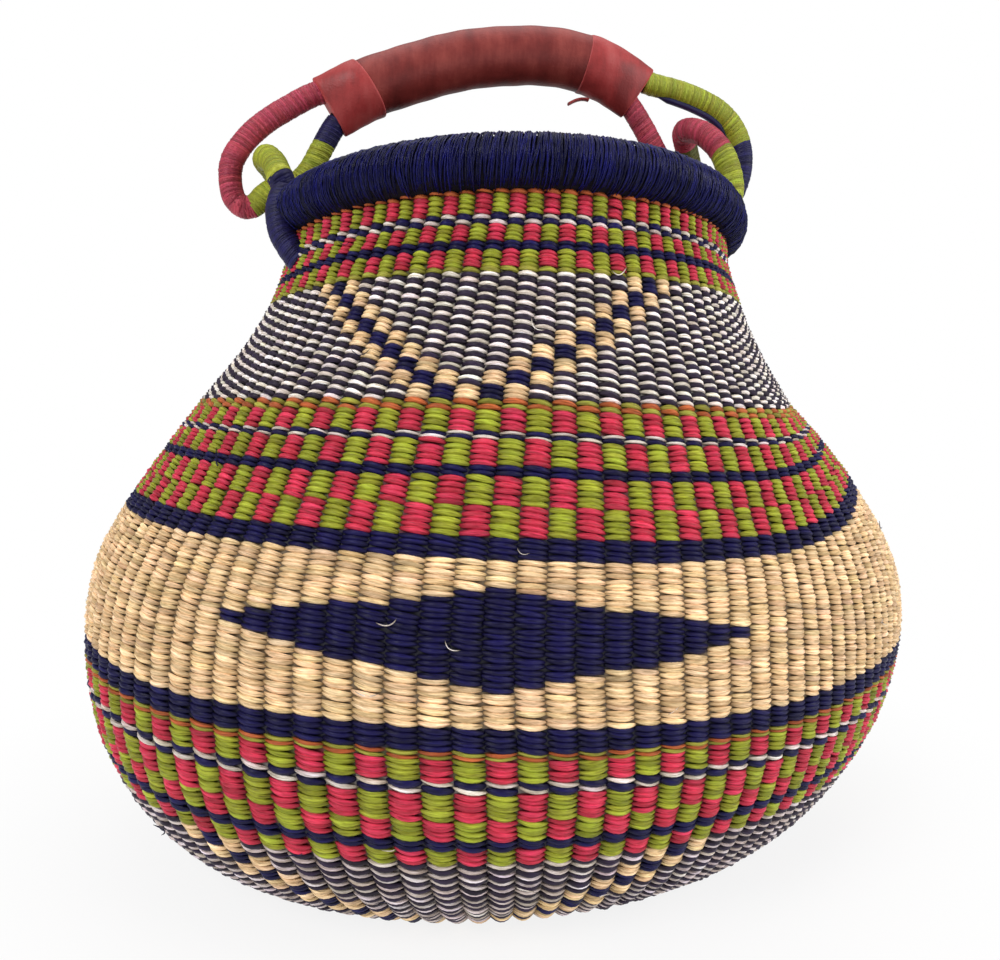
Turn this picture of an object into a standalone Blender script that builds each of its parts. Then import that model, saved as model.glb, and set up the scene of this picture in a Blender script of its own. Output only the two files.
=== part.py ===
"""Pot-shaped market basket woven from split grass, with a leather-gripped handle.

Metres, +Z up. The origin is the middle of the flat base, on the surface that it
stands on. X runs from one handle ear to the other, and the handle swings about
a line along X through both ears.
"""
import math

import bpy
import bmesh
from mathutils import Vector

# Pot wall
BELLY_HALF_LENGTH = 0.210
BELLY_OVAL_SHARE = 0.809
BELLY_TURN_DEG = 12.0
BELLY_HEIGHT = 0.100
BASE_HALF_LENGTH = 0.136
WALL = 0.0060
RIGHT_BULGE = 0.019
BULGE_HEIGHT = 0.118
BULGE_REACH = 0.072
ROW_TILT = 0.0085

# Rim
RIM_RADIUS = 0.1125
RIM_HEIGHT = 0.3100
RIM_SADDLE = 0.0035
RIM_CORE_R = 0.0104
RIM_WHIPPING = 0.0017

# Ropes, whipping and leather
FIT_GAP = 0.0003
EAR_CORE_R = 0.0049
EAR_WHIPPING = 0.0012
LEG_CORE_R = 0.0043
LEG_WHIPPING = 0.0012
RUNNING_GAP = 0.00025

# Ears
EAR_HALF_SPAN = 0.0235
LEFT_EAR_REACH = 0.0134
LEFT_EAR_RISE = 0.0116
RIGHT_EAR_LEAN = 0.0170
RIGHT_EAR_RISE = 0.0400
LEFT_EAR_LEAD = 0.0060
RIGHT_EAR_LEAD = 0.0120
EAR_SEAT_GAP = 0.0009
LEFT_EAR_SEAT_DEG = 66.0
RIGHT_EAR_SEAT_DEG = 84.0

# Handle
LEFT_LINK_REACH = 0.0307
RIGHT_LINK_REACH = 0.0170
LEFT_LINK_RISE = 0.0400
RIGHT_LINK_RISE = 0.0560
LINK_DROOP = 0.0115
LEFT_FORK_X = -0.0965
LEFT_FORK_Z = 0.3630
LEFT_FORK_SPREAD = 0.0090
RIGHT_FORK_X = 0.0700
RIGHT_FORK_Z = 0.3812
RIGHT_FORK_SPREAD = 0.0084
GRIP_TOP_Z = 0.3980
GRIP_CORE_R = 0.0125
LEATHER = 0.0018
COLLAR_LEATHER = 0.0013
LEFT_COLLAR_LENGTH = 0.0230
RIGHT_COLLAR_LENGTH = 0.0300
COLLAR_LAP = 0.0060
COLLAR_SETBACK = 0.0030
FORK_GAP = 0.0006
FORK_HALF_THICKNESS = 0.0056
TIE_WIDTH = 0.0042
TIE_THICKNESS = 0.0016
TIE_LENGTH = 0.0095
TIE_CURL = 0.0060

# Facets
POT_SIDES = 44
ROWS_PER_OUTLINE_STEP = 2
BASE_RINGS = 2
RIM_SIDES = 44
RIM_SECTION_SIDES = 10
ROPE_SIDES = 8
GRIP_SIDES = 12
EAR_RINGS = 20
LINK_RINGS = 32
GRIP_RINGS = 20
TIE_RINGS = 7
CURVE_STEPS = 12

# Worked out
RIM_OUTER_R = RIM_CORE_R + FIT_GAP + RIM_WHIPPING
EAR_R = EAR_CORE_R + FIT_GAP + EAR_WHIPPING
LEG_R = LEG_CORE_R + FIT_GAP + LEG_WHIPPING
RIM_END_Z = RIM_HEIGHT - RIM_SADDLE
HINGE_Z = RIM_END_Z + RIM_OUTER_R + LEG_R + RUNNING_GAP
NECK_RADIUS = RIM_RADIUS + WALL / 2
WALL_TOP = RIM_HEIGHT - RIM_CORE_R - FIT_GAP

# Colours and finishes: red, green, blue, roughness
NATURAL_STRAW = (0.76, 0.55, 0.28, 0.55)
NAVY_STRAW = (0.013, 0.010, 0.085, 0.42)
GREEN_STRAW = (0.26, 0.33, 0.03, 0.48)
RED_STRAW = (0.58, 0.032, 0.062, 0.48)
OLIVE_STRAW = (0.14, 0.16, 0.03, 0.55)
GRASS_CORE = (0.50, 0.38, 0.20, 0.75)
RED_LEATHER = (0.30, 0.045, 0.032, 0.45)
COLLAR_RED = (0.40, 0.052, 0.045, 0.45)

# Outline of the wall from the base edge to the belly, and from the belly to the neck
BASE_OUTLINE_SHARES = [(0.0, 0.0), (0.20, 0.03), (0.42, 0.10), (0.70, 0.30), (0.93, 0.62)]
NECK_OUTLINE_SHARES = [
    (1.0, 0.0), (0.93, 0.20), (0.70, 0.40), (0.42, 0.60), (0.262, 0.70),
    (0.132, 0.80), (0.055, 0.88), (0.010, 0.95), (0.0, 1.0),
]
ROUNDING_START_SHARE = 0.37
ROUNDING_END_SHARE = 0.90

# Handle routes: outward from the middle of the rim as shares of that end's reach, and
# upward from the hinge line as shares of its rise, or downward as shares of the droop,
# from the inner fork under the ear to the outer fork
LEFT_LINK_SHARES = [(-0.46, 0.47), (-0.26, 0.20), (-0.06, 0.04), (0.20, -0.01)]
LEFT_DROOP_SHARES = [(0.44, 0.40), (0.62, 0.90), (0.80, 1.00), (0.95, 0.60)]
LEFT_OUTER_SHARES = [(1.0, 0.065), (0.95, 0.29), (0.74, 0.535), (0.44, 0.755), (0.06, 0.955)]
RIGHT_LINK_SHARES = [
    (-2.40, 0.72), (-2.05, 0.55), (-1.66, 0.36), (-1.22, 0.17), (-0.72, 0.045), (-0.20, 0.0),
    (0.30, 0.02), (0.67, 0.12), (0.88, 0.26), (0.985, 0.42), (0.93, 0.59), (0.68, 0.76), (0.14, 0.92),
    (-0.66, 1.03), (-1.44, 1.09),
]
GRIP_ROUTE_SHARES = [
    (0.138, 0.365), (0.38, 0.79), (0.5375, 0.94), (0.679, 1.0), (0.775, 0.96), (0.86, 0.865),
    (0.935, 0.71),
]

# Where each coloured whipping ends along its rope, as shares of the rope's length
LEFT_NAVY_END_SHARE = 0.135
LEFT_GREEN_END_SHARE = 0.555
RIGHT_RED_END_SHARE = 0.430
RIGHT_NAVY_END_SHARE = 0.625
EAR_FOOT_SHARE = 0.235
RIGHT_EAR_GREEN_SHARE = 0.330
RIGHT_EAR_OLIVE_SHARE = 0.690
TIE_PLACE_SHARE = 0.90


def clear_scene():
    for obj in list(bpy.data.objects):
        bpy.data.objects.remove(obj, do_unlink=True)


def make_material(name, finish):
    material = bpy.data.materials.new(name)
    material.use_nodes = True
    shader = material.node_tree.nodes["Principled BSDF"]
    shader.inputs["Base Color"].default_value = (*finish[:3], 1.0)
    shader.inputs["Roughness"].default_value = finish[3]
    shader.inputs["Metallic"].default_value = 0.0
    return material


def add_object(name, builder, finish, pivot):
    """An object of the built mesh, with its own material and its origin at the pivot."""
    bmesh.ops.recalc_face_normals(builder, faces=builder.faces)
    bmesh.ops.translate(builder, verts=builder.verts, vec=-pivot)
    mesh = bpy.data.meshes.new(name)
    builder.to_mesh(mesh)
    builder.free()
    mesh.shade_smooth()
    mesh.set_sharp_from_angle(angle=math.radians(50))
    mesh.materials.append(make_material(name, finish))
    obj = bpy.data.objects.new(name, mesh)
    obj.location = pivot
    bpy.context.scene.collection.objects.link(obj)
    return obj


# Routes and lofts

def line_length(line):
    return sum((stop - start).length for start, stop in zip(line, line[1:]))


def resample(line, count):
    """Points evenly spaced along a polyline."""
    lengths = [0.0]
    for start, stop in zip(line, line[1:]):
        lengths.append(lengths[-1] + (stop - start).length)
    result = []
    index = 0
    for step in range(count):
        target = lengths[-1] * step / (count - 1)
        while index < len(line) - 2 and lengths[index + 1] < target:
            index += 1
        share = (target - lengths[index]) / (lengths[index + 1] - lengths[index])
        result.append(line[index].lerp(line[index + 1], min(max(share, 0.0), 1.0)))
    return result


def smooth_curve(points, steps):
    """A smooth curve through the given points, with so many steps between neighbours."""
    ends = [points[0] * 2 - points[1]] + list(points) + [points[-1] * 2 - points[-2]]
    fine = []
    for index in range(1, len(ends) - 2):
        before, start, stop, after = ends[index - 1:index + 3]
        for step in range(steps):
            t = step / steps
            bend = before * 2 - start * 5 + stop * 4 - after
            twist = start * 3 - before - stop * 3 + after
            fine.append(start + ((stop - before) * t + bend * t ** 2 + twist * t ** 3) / 2)
    fine.append(points[-1])
    return fine


def smooth_route(points, count):
    """Points evenly spaced along a smooth curve through the given points."""
    return resample(smooth_curve(points, CURVE_STEPS), count)


def ring_places(line, count, side):
    """Evenly spaced places along a route: point, normal and side, carried without twist."""
    points = resample(line, count)
    places = []
    for index, point in enumerate(points):
        ahead = points[min(index + 1, count - 1)]
        behind = points[max(index - 1, 0)]
        tangent = (ahead - behind).normalized()
        side = (side - tangent * side.dot(tangent)).normalized()
        places.append((point, side.cross(tangent), side))
    return places


def between(places, position):
    """The place at a fractional index, on the flat facets between two rings."""
    index = min(int(position), len(places) - 2)
    return tuple(a.lerp(b, position - index) for a, b in zip(places[index], places[index + 1]))


def stretch_of(places, start_share, end_share, extra_shares=()):
    """The places between two shares of a route, with the share of each."""
    last = len(places) - 1
    shares = [index / last for index in range(last + 1)] + list(extra_shares)
    least = 0.02 / last
    inside = [share for share in shares if start_share + least < share < end_share - least]
    chosen = sorted([start_share, end_share] + inside)
    return [(between(places, share * last), share) for share in chosen]


def oval_ring(place, half_normal, half_side, count):
    point, normal, side = place
    ring = []
    for index in range(count):
        angle = 2 * math.pi * (index + 0.5) / count
        offset = normal * (half_normal * math.cos(angle)) + side * (half_side * math.sin(angle))
        ring.append(point + offset)
    return ring


def loft(rings, closed_loop=False):
    """Quads between rings of points; the ends are capped unless the rings close up."""
    builder = bmesh.new()
    loops = [[builder.verts.new(point) for point in ring] for ring in rings]
    pairs = list(zip(loops, loops[1:]))
    if closed_loop:
        pairs.append((loops[-1], loops[0]))
    for lower, upper in pairs:
        for index in range(len(lower)):
            following = (index + 1) % len(lower)
            builder.faces.new((lower[index], lower[following], upper[following], upper[index]))
    if not closed_loop:
        builder.faces.new(loops[0][::-1])
        builder.faces.new(loops[-1])
    return builder


def bundle(name, places, size_at, sides, finish, pivot):
    """A solid rope or bundle whose half widths, normal and side, follow size_at(share)."""
    last = len(places) - 1
    rings = [oval_ring(place, *size_at(index / last), sides) for index, place in enumerate(places)]
    return add_object(name, loft(rings), finish, pivot)


def sleeve(name, stretch, size_at, thickness, sides, finish, pivot):
    """A wrapping round a rope, open at both ends."""
    outer = []
    inner = []
    for place, share in stretch:
        half_normal, half_side = size_at(share)
        outer.append(oval_ring(place, half_normal, half_side, sides))
        inner.append(oval_ring(place, half_normal - thickness, half_side - thickness, sides))
    return add_object(name, loft(outer + inner[::-1], closed_loop=True), finish, pivot)


def whippings(pieces, places, radius, thickness, pivot):
    """Straw wound round a rope in lengths of colour, each a fit gap from the next."""
    length = line_length([place[0] for place in places])
    trim = FIT_GAP / length
    for name, start, stop, finish in pieces:
        stretch = stretch_of(places, start + trim / 2, stop - trim / 2)
        sleeve(name, stretch, lambda share: (radius, radius), thickness, ROPE_SIDES, finish, pivot)


# Pot

def rim_height_at(angle):
    return RIM_HEIGHT - RIM_SADDLE * math.cos(2 * angle)


def wall_line():
    """Half length and height of the wall, from the base edge to the top."""
    points = []
    for reach_share, height_share in BASE_OUTLINE_SHARES:
        reach = BASE_HALF_LENGTH + (BELLY_HALF_LENGTH - BASE_HALF_LENGTH) * reach_share
        points.append(Vector((reach, 0.0, BELLY_HEIGHT * height_share)))
    for reach_share, height_share in NECK_OUTLINE_SHARES:
        reach = NECK_RADIUS + (BELLY_HALF_LENGTH - NECK_RADIUS) * reach_share
        points.append(Vector((reach, 0.0, BELLY_HEIGHT + (WALL_TOP - BELLY_HEIGHT) * height_share)))
    return smooth_curve(points, ROWS_PER_OUTLINE_STEP * CURVE_STEPS)


def pot_point(reach, height, angle):
    """A point of the outer surface. Rows are oval and slope below, round and saddled on top."""
    turn = math.radians(BELLY_TURN_DEG)
    around = angle - turn
    level = height / WALL_TOP
    rounding = (level - ROUNDING_START_SHARE) / (ROUNDING_END_SHARE - ROUNDING_START_SHARE)
    rounding = min(max(rounding, 0.0), 1.0) ** 1.5
    oval = BELLY_OVAL_SHARE + (1.0 - BELLY_OVAL_SHARE) * rounding
    bulge = RIGHT_BULGE * math.exp(-((height - BULGE_HEIGHT) / BULGE_REACH) ** 2)
    bulge *= math.sin(math.pi * min(height / BELLY_HEIGHT, 1.0) / 2)
    along = (reach + bulge * max(math.cos(around), 0.0)) * math.cos(around)
    across = reach * oval * math.sin(around)
    top_share = max(level - ROUNDING_START_SHARE, 0.0) / (1.0 - ROUNDING_START_SHARE)
    slope = ROW_TILT * math.sin(math.pi * level) ** 2 * (1.0 - top_share)
    lift = (rim_height_at(angle) - RIM_HEIGHT) * top_share - slope * math.cos(around)
    return Vector((
        along * math.cos(turn) - across * math.sin(turn),
        along * math.sin(turn) + across * math.cos(turn),
        height + lift,
    ))


def build_woven_pot():
    builder = bmesh.new()
    centre = builder.verts.new((0.0, 0.0, 0.0))
    rows = []
    for index in range(1, BASE_RINGS + 1):
        rows.append((BASE_HALF_LENGTH * index / (BASE_RINGS + 1), 0.0))
    rows += [(point.x, point.z) for point in wall_line()[::CURVE_STEPS]]
    angles = [2 * math.pi * index / POT_SIDES for index in range(POT_SIDES)]
    loops = []
    for reach, height in rows:
        loops.append([builder.verts.new(pot_point(reach, height, angle)) for angle in angles])
    for index in range(POT_SIDES):
        following = (index + 1) % POT_SIDES
        builder.faces.new((centre, loops[0][following], loops[0][index]))
        for lower, upper in zip(loops, loops[1:]):
            builder.faces.new((lower[index], lower[following], upper[following], upper[index]))
    pot = add_object("woven_pot", builder, NATURAL_STRAW, Vector())
    shell = pot.modifiers.new("wall", "SOLIDIFY")
    shell.thickness = WALL
    shell.offset = -1.0
    shell.use_even_offset = True


# Rim

def rim_point(angle, turn, radius):
    """A point at a turn round the rim's section, at the basket angle given."""
    reach = RIM_RADIUS + radius * math.cos(turn)
    height = rim_height_at(angle) + radius * math.sin(turn)
    return Vector((reach * math.cos(angle), reach * math.sin(angle), height))


def build_rim():
    """The winding is open underneath, where the top of the wall runs up to the core."""
    angles = [2 * math.pi * index / RIM_SIDES for index in range(RIM_SIDES)]
    turns = [2 * math.pi * index / RIM_SECTION_SIDES for index in range(RIM_SECTION_SIDES)]
    core = [[rim_point(angle, turn, RIM_CORE_R) for turn in turns] for angle in angles]
    add_object("rim_core", loft(core, closed_loop=True), GRASS_CORE, Vector())

    inner_r = RIM_CORE_R + FIT_GAP
    half_mouth = math.asin((WALL / 2 + FIT_GAP * 2) / inner_r)
    sweep = 2 * math.pi - 2 * half_mouth
    steps = [index / RIM_SECTION_SIDES for index in range(RIM_SECTION_SIDES + 1)]
    turns = [-math.pi / 2 + half_mouth + sweep * step for step in steps]
    inner_r /= math.cos(sweep / RIM_SECTION_SIDES / 2)
    rings = []
    for angle in angles:
        outer = [rim_point(angle, turn, RIM_OUTER_R) for turn in turns]
        inner = [rim_point(angle, turn, inner_r) for turn in turns[::-1]]
        rings.append(outer + inner)
    add_object("rim_whipping_navy", loft(rings, closed_loop=True), NAVY_STRAW, Vector())


# Ears

def basket_angle(end, across, radius):
    """The angle about Z of a point beside the hinge line, at the left (-1) or right (1) end."""
    angle = math.asin(across / radius)
    return angle if end > 0 else math.pi - angle


def ear_foot(end, side, seat_deg, lead):
    """The last points of an ear, which run square into the whipping on top of the rim."""
    angle = basket_angle(end, EAR_HALF_SPAN * side, RIM_RADIUS)
    seat = math.radians(seat_deg)
    seated = RIM_OUTER_R + EAR_SEAT_GAP
    return [rim_point(angle, seat, seated + lead), rim_point(angle, seat, seated)]


def left_ear_half(side):
    """From the outermost point of a low arch that leans out over the link, down to the rim."""
    across = EAR_HALF_SPAN * side
    top = Vector((-RIM_RADIUS - LEFT_EAR_REACH, 0.0, HINGE_Z + LEFT_EAR_RISE))
    return [
        top,
        top + Vector((LEFT_EAR_REACH * 0.14, across * 0.42, -LEFT_EAR_RISE * 0.08)),
        top + Vector((LEFT_EAR_REACH * 0.40, across * 0.74, -LEFT_EAR_RISE * 0.46)),
    ] + ear_foot(-1, side, LEFT_EAR_SEAT_DEG, LEFT_EAR_LEAD)


def right_ear_half(side):
    """From the top of a tall arch that leans in over the mouth, down to the rim."""
    across = EAR_HALF_SPAN * side
    top = Vector((RIM_RADIUS - RIGHT_EAR_LEAN, 0.0, HINGE_Z + RIGHT_EAR_RISE))
    return [
        top,
        top + Vector((RIGHT_EAR_LEAN * 0.34, across * 0.52, -RIGHT_EAR_RISE * 0.12)),
        top + Vector((RIGHT_EAR_LEAN * 0.76, across * 0.88, -RIGHT_EAR_RISE * 0.42)),
    ] + ear_foot(1, side, RIGHT_EAR_SEAT_DEG, RIGHT_EAR_LEAD)


def build_ears():
    along_x = Vector((1.0, 0.0, 0.0))
    halves = {
        "left": (left_ear_half(-1.0), left_ear_half(1.0)),
        "right": (right_ear_half(-1.0), right_ear_half(1.0)),
    }
    colours = {
        "left": [("near_foot_navy", 0.0, EAR_FOOT_SHARE, NAVY_STRAW),
                 ("arch_green", EAR_FOOT_SHARE, 1.0 - EAR_FOOT_SHARE, GREEN_STRAW),
                 ("far_foot_navy", 1.0 - EAR_FOOT_SHARE, 1.0, NAVY_STRAW)],
        "right": [("near_foot_green", 0.0, RIGHT_EAR_GREEN_SHARE, GREEN_STRAW),
                  ("arch_red", RIGHT_EAR_GREEN_SHARE, RIGHT_EAR_OLIVE_SHARE, RED_STRAW),
                  ("far_foot_olive", RIGHT_EAR_OLIVE_SHARE, 1.0, OLIVE_STRAW)],
    }
    for end, (near, far) in halves.items():
        route = smooth_route(near[:0:-1] + far, EAR_RINGS * 5)
        places = ring_places(route, EAR_RINGS, along_x)
        bundle(f"{end}_ear_core", places, lambda share: (EAR_CORE_R, EAR_CORE_R), ROPE_SIDES,
               GRASS_CORE, Vector())
        pieces = [(f"{end}_ear_{name}", start, stop, finish)
                  for name, start, stop, finish in colours[end]]
        whippings(pieces, places, EAR_R, EAR_WHIPPING, Vector())


# Handle

def grip_route():
    left = Vector((LEFT_FORK_X, 0.0, LEFT_FORK_Z))
    right = Vector((RIGHT_FORK_X, 0.0, RIGHT_FORK_Z))
    points = [left]
    for along, up in GRIP_ROUTE_SHARES:
        x = left.x + (right.x - left.x) * along
        points.append(Vector((x, 0.0, left.z + (GRIP_TOP_Z - left.z) * up)))
    points.append(right)
    return smooth_route(points, GRIP_RINGS * 5)


def fork_exits(fork, inside, spread):
    """Where the inner and outer legs leave the grip, and the direction that they leave in."""
    leaving = (fork - inside).normalized()
    upward = Vector((0.0, 1.0, 0.0)).cross(leaving)
    if upward.z < 0:
        upward = -upward
    return fork - upward * spread, fork + upward * spread, leaving


def link_point(end, reach, upward):
    return Vector((end * (RIM_RADIUS + reach), 0.0, HINGE_Z + upward))


def link_route(fork, inside, spread, middle):
    """A rope loop from inside the grip, down under the ear and back up into the grip."""
    inner, outer, leaving = fork_exits(fork, inside, spread)
    tuck = leaving * (LEG_R * 2)
    draw = (outer - inner) * 0.22
    points = [inner + draw - tuck, inner] + middle + [outer, outer - draw - tuck]
    return smooth_route(points, LINK_RINGS * 5), inner, outer


def exit_share(route, exit_point, half):
    """How far along the route an exit from the grip lies, in its first or second half."""
    middle = len(route) // 2
    span = range(0, middle) if half == 0 else range(middle, len(route))
    nearest = min(span, key=lambda index: (route[index] - exit_point).length)
    return nearest / (len(route) - 1)


def build_links(route, pivot):
    reach, rise = LEFT_LINK_REACH, LEFT_LINK_RISE
    left_middle = [link_point(-1, out * reach, up * rise) for out, up in LEFT_LINK_SHARES]
    left_middle += [link_point(-1, out * reach, -down * LINK_DROOP) for out, down in LEFT_DROOP_SHARES]
    left_middle += [link_point(-1, out * reach, up * rise) for out, up in LEFT_OUTER_SHARES]
    reach, rise = RIGHT_LINK_REACH, RIGHT_LINK_RISE
    right_middle = [link_point(1, out * reach, up * rise) for out, up in RIGHT_LINK_SHARES]
    links = {
        "left": link_route(route[0], route[6], LEFT_FORK_SPREAD, left_middle),
        "right": link_route(route[-1], route[-7], RIGHT_FORK_SPREAD, right_middle),
    }
    ropes = []
    for end, (line, inner, outer) in links.items():
        places = ring_places(line, LINK_RINGS, Vector((0.0, 1.0, 0.0)))
        rope = bundle(f"{end}_link_rope", places, lambda share: (LEG_CORE_R, LEG_CORE_R),
                      ROPE_SIDES, GRASS_CORE, pivot)
        rope.hide_render = True
        rope.display_type = "WIRE"
        ropes.append(rope)
        clear = FORK_GAP / line_length(line)
        first = exit_share(line, inner, 0) + clear
        last = exit_share(line, outer, 1) - clear
        if end == "left":
            pieces = [("left_inner_leg_navy", first, LEFT_NAVY_END_SHARE, NAVY_STRAW),
                      ("left_link_green", LEFT_NAVY_END_SHARE, LEFT_GREEN_END_SHARE, GREEN_STRAW),
                      ("left_outer_leg_red", LEFT_GREEN_END_SHARE, last, RED_STRAW)]
        else:
            pieces = [("right_inner_leg_red", first, RIGHT_RED_END_SHARE, RED_STRAW),
                      ("right_link_navy", RIGHT_RED_END_SHARE, RIGHT_NAVY_END_SHARE, NAVY_STRAW),
                      ("right_outer_leg_green", RIGHT_NAVY_END_SHARE, last, GREEN_STRAW)]
        whippings(pieces, places, LEG_R, LEG_WHIPPING, pivot)
    return ropes


def grip_sizes(left_share, right_share, radius, fork_half, rope_half):
    """Half widths along the grip: round in the middle, flat and wide at each fork."""
    def size_at(share):
        left = max(1.0 - share / left_share, 0.0) ** 1.4
        right = max(1.0 - (1.0 - share) / right_share, 0.0) ** 1.4
        wide = radius + (LEFT_FORK_SPREAD + rope_half - radius) * left
        wide += (RIGHT_FORK_SPREAD + rope_half - radius) * right
        return wide, radius + (fork_half - radius) * max(left, right)
    return size_at


def build_handle():
    pivot = Vector((0.0, 0.0, HINGE_Z))
    route = grip_route()
    length = line_length(route)
    left_share = LEFT_COLLAR_LENGTH / length
    right_share = RIGHT_COLLAR_LENGTH / length
    lap_share = COLLAR_LAP / length
    places = ring_places(route, GRIP_RINGS, Vector((0.0, 1.0, 0.0)))

    core_size = grip_sizes(left_share, right_share, GRIP_CORE_R, FORK_HALF_THICKNESS, LEG_CORE_R)
    core = bundle("handle_core", places, core_size, GRIP_SIDES, GRASS_CORE, pivot)
    for rope in build_links(route, pivot):
        joined = core.modifiers.new(rope.name, "BOOLEAN")
        joined.operation = "UNION"
        joined.object = rope

    leather_r = GRIP_CORE_R + FIT_GAP + LEATHER
    middle = stretch_of(places, left_share, 1.0 - right_share)
    sleeve("leather_grip", middle, lambda share: (leather_r, leather_r), LEATHER, GRIP_SIDES,
           RED_LEATHER, pivot)

    collar_r = leather_r + FIT_GAP + COLLAR_LEATHER
    mouth_half = LEG_R + FIT_GAP + COLLAR_LEATHER
    collar_size = grip_sizes(left_share, right_share, collar_r, mouth_half, LEG_R + COLLAR_LEATHER)
    mouth_share = COLLAR_SETBACK / length
    seams = (left_share, 1.0 - right_share)
    left = stretch_of(places, mouth_share, left_share + lap_share, seams)
    right = stretch_of(places, 1.0 - right_share - lap_share, 1.0 - mouth_share, seams)
    for name, stretch in (("left_leather_collar", left), ("right_leather_fork", right)):
        sleeve(name, stretch, collar_size, COLLAR_LEATHER, GRIP_SIDES, COLLAR_RED, pivot)
    build_tie_end(places, 1.0 - right_share * TIE_PLACE_SHARE, collar_size, pivot)


def build_tie_end(places, share, collar_size, pivot):
    """The loose end of the leather thong, curling away from under the right-hand wrap."""
    point, normal, side = between(places, share * (len(places) - 1))
    down = normal if normal.z < 0 else -normal
    along = side.cross(down)
    if along.x > 0:
        along = -along
    beneath = collar_size(share)[0] * math.cos(math.pi / GRIP_SIDES) + FIT_GAP
    start = point + down * (beneath + TIE_THICKNESS / 2)
    curl = []
    for step in range(TIE_RINGS):
        out = step / (TIE_RINGS - 1)
        curl.append(start + along * (TIE_LENGTH * out) + down * (TIE_CURL * out ** 2))
    bundle("leather_tie_end", ring_places(curl, TIE_RINGS, side),
           lambda share: (TIE_THICKNESS / 2, TIE_WIDTH / 2), ROPE_SIDES, COLLAR_RED, pivot)


def main():
    clear_scene()
    build_woven_pot()
    build_rim()
    build_ears()
    build_handle()


main()
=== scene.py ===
import math

import bmesh
import bpy
import numpy as np
from mathutils import Matrix, Vector


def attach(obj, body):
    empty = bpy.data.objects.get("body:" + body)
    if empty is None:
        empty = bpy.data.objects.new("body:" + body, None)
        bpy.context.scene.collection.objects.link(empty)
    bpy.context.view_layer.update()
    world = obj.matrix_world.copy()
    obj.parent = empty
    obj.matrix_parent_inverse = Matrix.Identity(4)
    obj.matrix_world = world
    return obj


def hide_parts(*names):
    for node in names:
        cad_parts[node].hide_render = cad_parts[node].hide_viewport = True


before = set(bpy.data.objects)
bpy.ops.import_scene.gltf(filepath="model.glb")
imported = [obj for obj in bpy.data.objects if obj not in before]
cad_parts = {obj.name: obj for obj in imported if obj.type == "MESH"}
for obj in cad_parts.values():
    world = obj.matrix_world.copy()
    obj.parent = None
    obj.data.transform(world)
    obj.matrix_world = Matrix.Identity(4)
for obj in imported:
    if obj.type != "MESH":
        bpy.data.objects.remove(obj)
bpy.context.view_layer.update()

# Camera, floor and light
# The basket stands on a plain white sweep in an open, even daylight. The camera is close,
# a little left of the front and just above the shoulder, which widens the belly.

CAMERA_PLACE = (-0.0851, -0.4573, 0.2187)
CAMERA_HEADING_DEG = -10.0
CAMERA_DOWN_DEG = 5.39
CAMERA_ROLL_DEG = 0.66
CAMERA_LENS_MM = 30.82

lens = bpy.data.cameras.new("photo_camera")
lens.lens = CAMERA_LENS_MM
lens.sensor_width = 36.0
lens.clip_start = 0.01
camera = bpy.data.objects.new("photo_camera", lens)
bpy.context.scene.collection.objects.link(camera)
camera.matrix_world = (Matrix.Translation(CAMERA_PLACE)
                       @ Matrix.Rotation(math.radians(CAMERA_HEADING_DEG), 4, "Z")
                       @ Matrix.Rotation(math.radians(90.0 - CAMERA_DOWN_DEG), 4, "X")
                       @ Matrix.Rotation(math.radians(CAMERA_ROLL_DEG), 4, "Z"))
bpy.context.scene.camera = camera
bpy.context.scene.view_settings.view_transform = "Standard"


class Strand:
    """A socket in a material. Sums of strands add their own Math nodes."""

    def __init__(self, socket):
        self.socket = socket
        self.tree = socket.id_data

    def node(self, kind, sockets=(), out=0, stops=None, **settings):
        """Any other node: its settings first, then its sockets by name or number."""
        added = self.tree.nodes.new(kind)
        for setting, value in settings.items():
            setattr(added, setting, value)
        if stops:
            ramp = added.color_ramp
            while len(ramp.elements) < len(stops):
                ramp.elements.new(0.5)
            for element, (place, shade) in zip(ramp.elements, stops):
                element.position = place
                element.color = (*shade, 1.0)
        for key, value in dict(sockets).items():
            if isinstance(value, Strand):
                self.tree.links.new(value.socket, added.inputs[key])
            else:
                added.inputs[key].default_value = value
        return Strand(added.outputs[out])

    def sum(self, operation, first, second):
        return self.node("ShaderNodeMath", {0: first, 1: second}, operation=operation)

    def __add__(self, other):
        return self.sum("ADD", self, other)

    def __radd__(self, other):
        return self.sum("ADD", other, self)

    def __sub__(self, other):
        return self.sum("SUBTRACT", self, other)

    def __rsub__(self, other):
        return self.sum("SUBTRACT", other, self)

    def __mul__(self, other):
        return self.sum("MULTIPLY", self, other)

    def __rmul__(self, other):
        return self.sum("MULTIPLY", other, self)

    def to(self, socket):
        self.tree.links.new(self.socket, socket)

    def output(self, name):
        """Another output of the node that this strand comes from."""
        return Strand(self.socket.node.outputs[name])

    def attribute(self, name, out="Fac"):
        return self.node("ShaderNodeAttribute", out=out, attribute_name=name)

    def dyed(self, light):
        """This colour, lighter or darker."""
        return self.node("ShaderNodeMix", {0: 1.0, "A": self, "B": light}, out=2, data_type="RGBA",
                         blend_type="MULTIPLY")


def new_finish(name, sockets=()):
    """A fresh material with its even sockets set, its shader node and a strand to start from."""
    material = bpy.data.materials.new(name)
    material.use_nodes = True
    shader = material.node_tree.nodes["Principled BSDF"]
    for socket, value in dict(sockets).items():
        shader.inputs[socket].default_value = value
    return material, shader, Strand(shader.inputs["Base Color"])


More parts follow.
